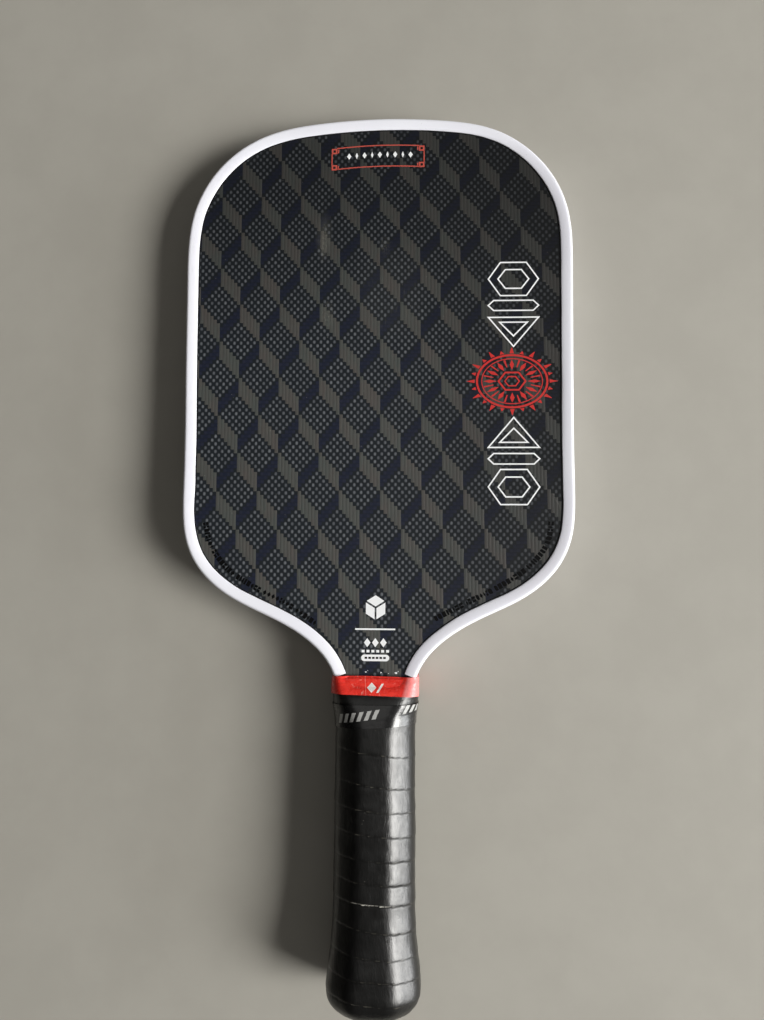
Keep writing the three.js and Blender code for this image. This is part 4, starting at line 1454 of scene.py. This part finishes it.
def cushion_material():
    mat = Shader("base_grip_foam")
    cloud = mat.noise(freq=1.0, scale=0.8, detail=4)
    grain = mat.noise(freq=1.0, scale=4.0, detail=2)
    return mat.finish(color=mat.mix(cloud.ramp(0.3, 0.7), srgb(30, 30, 31), srgb(44, 44, 45)),
                      rough=0.7 + cloud * 0.15,
                      normal=mat.bump(cloud + grain * 0.5, strength=0.4, distance=0.0002))


def base_grip():
    """The cushion under the overgrip, with the same softened bevels."""
    low, high = box_mm("base_grip")
    heights = np.r_[np.arange(low[1], -190.0, 2.0), np.arange(-190.0, -90.0, 5.0),
                    np.arange(-90.0, -71.0, 2.0), -71.0, -69.0, high[1]]
    inset = np.array([0, 1, 1, 0.5, 0.5]) * WRAP_DEPTH
    body = [list(row - inset) for row in GRIP if -206.0 < row[0] < -70.0]
    sizes = sizes_at(np.array(CUSHION_NECK + body + CUSHION_END), heights, sigma=1.2)
    verts, faces = sleeve(heights, sizes, np.zeros((len(heights), 128)), thick=1.5,
                          radius=5.5, inner_rows=len(heights))
    make("base_grip_cushion", verts, faces, cushion_material(), "base_grip",
         sharp_above=60)


base_grip()


# ---------------------------------------------------------------- floor
WALL = srgb(186, 184, 178)
FLOOR_HALF = 9000.0
BUTT_REST = (-201.5, -18.12)    # y, z where the butt flare touches the floor
TOP_REST = (206.5, -9.25)       # y, z where the top of the guard touches it


def floor():
    """The paddle rests on its flare and its top, so the floor leans a little in this frame."""
    slope = (TOP_REST[1] - BUTT_REST[1]) / (TOP_REST[0] - BUTT_REST[0])
    corners = [(x * FLOOR_HALF, y * FLOOR_HALF) for x, y in ((-1, -1), (1, -1), (1, 1), (-1, 1))]
    points = [(x, y, BUTT_REST[1] + slope * (y - BUTT_REST[0])) for x, y in corners]
    mesh = bpy.data.meshes.new("floor")
    mesh.from_pydata([tuple(np.array(point) * MM) for point in points], [], [(0, 1, 2, 3)])
    thing = bpy.data.objects.new("floor", mesh)
    bpy.context.scene.collection.objects.link(thing)
    mesh.materials.append(floor_material())


def floor_material():
    mat = Shader("floor_paint")
    cloud = mat.noise(scale=0.03, detail=5).ramp(0.3, 0.7)
    mat.finish(color=mat.mix(cloud, srgb(162, 159, 151), srgb(158, 155, 147)), rough=0.75)
    # far from the paddle the floor melts into the pale wall behind it
    length = mat.node("VectorMath")
    length.operation = "LENGTH"
    mat.put(length.inputs[0], mat.coords())
    far = Value(mat, length.outputs["Value"]).ramp(430.0, 1150.0)
    glow = mat.node("Emission")
    glow.inputs[0].default_value = WALL
    glow.inputs[1].default_value = 1.0
    blend = mat.node("MixShader")
    mat.put(blend.inputs[0], far * mat.light_path("Is Camera Ray"))
    mat.tree.links.new(mat.bsdf.outputs[0], blend.inputs[1])
    mat.tree.links.new(glow.outputs[0], blend.inputs[2])
    mat.tree.links.new(blend.outputs[0], mat.output.inputs["Surface"])
    return mat.material


floor()


# ---------------------------------------------------------------- lights, in metres
AIM = (0.0, 0.03, 0.0)


def area(name, location, size, energy, color):
    light = bpy.data.lights.new(name, "AREA")
    light.shape = "RECTANGLE"
    light.size, light.size_y = size
    light.energy = energy
    light.color = color
    lamp = bpy.data.objects.new(name, light)
    bpy.context.scene.collection.objects.link(lamp)
    lamp.location = location
    direction = Vector(AIM) - Vector(location)
    lamp.rotation_euler = direction.to_track_quat("-Z", "Y").to_euler()


def toward(azimuth, elevation, distance):
    """A place from its angles in degrees, azimuth from +x, and its distance."""
    azimuth, elevation = math.radians(azimuth), math.radians(elevation)
    return (distance * math.cos(elevation) * math.cos(azimuth),
            distance * math.cos(elevation) * math.sin(azimuth),
            distance * math.sin(elevation))


area("key_window", toward(azimuth=-15, elevation=33, distance=3.3), size=(1.6, 1.25),
     energy=157.0, color=(1.0, 0.985, 0.95))
area("low_window", toward(azimuth=-8, elevation=13, distance=3.2), size=(2.4, 0.75),
     energy=56.0, color=(0.97, 0.99, 1.0))
area("top_fill", (-0.22, 0.12, 1.7), size=(0.9, 0.9), energy=1.25, color=(1.0, 0.98, 0.95))


def world():
    """A dim room, brighter on the window side; seen straight on it is a plain pale wall."""
    studio = bpy.data.worlds.new("studio")
    bpy.context.scene.world = studio
    studio.use_nodes = True
    graph = Graph(studio.node_tree)
    nodes, link = graph.tree.nodes, graph.tree.links.new
    facing = graph.node("VectorMath")
    facing.operation = "DOT_PRODUCT"
    facing.inputs[1].default_value = (0.80, -0.15, 0.58)        # towards the windows
    link(graph.node("TexCoord").outputs["Generated"], facing.inputs[0])
    brightness = Value(graph, facing.outputs["Value"]).ramp(-0.5, 1.0, low=0.010, high=0.17)
    room = nodes["Background"]
    room.inputs[0].default_value = (1.0, 0.965, 0.90, 1.0)
    graph.put(room.inputs[1], brightness)
    wall = graph.node("Background")
    wall.inputs[0].default_value = WALL
    switch = graph.node("MixShader")
    graph.put(switch.inputs[0], graph.light_path("Is Camera Ray"))
    link(room.outputs[0], switch.inputs[1])
    link(wall.outputs[0], switch.inputs[2])
    link(switch.outputs[0], nodes["World Output"].inputs[0])


world()

# ---------------------------------------------------------------- camera
CAMERA_AT = (18.135584846, -23.030941699, 360.452567439)
CAMERA_AXES = (
    (0.9990466166474528, 0.006859649163069541, -0.04311384743807933),       # right
    (-0.0023632282412910997, 0.9946277560607264, 0.10348933290868027),      # up
    (0.04359211990207743, -0.10328878006329482, 0.9936957054327442))        # backwards


def camera():
    lens = bpy.data.cameras.new("cam")
    thing = bpy.data.objects.new("cam", lens)
    bpy.context.scene.collection.objects.link(thing)
    lens.sensor_width = 36.0
    lens.lens = 26.581715294
    lens.clip_start = 0.01      # metres
    pose = Matrix(CAMERA_AXES).transposed().to_4x4()
    pose.translation = Vector(CAMERA_AT) * MM
    thing.matrix_world = pose
    bpy.context.scene.camera = thing


camera()
bpy.context.scene.view_settings.view_transform = "Standard"
bpy.context.scene.view_settings.look = "None"
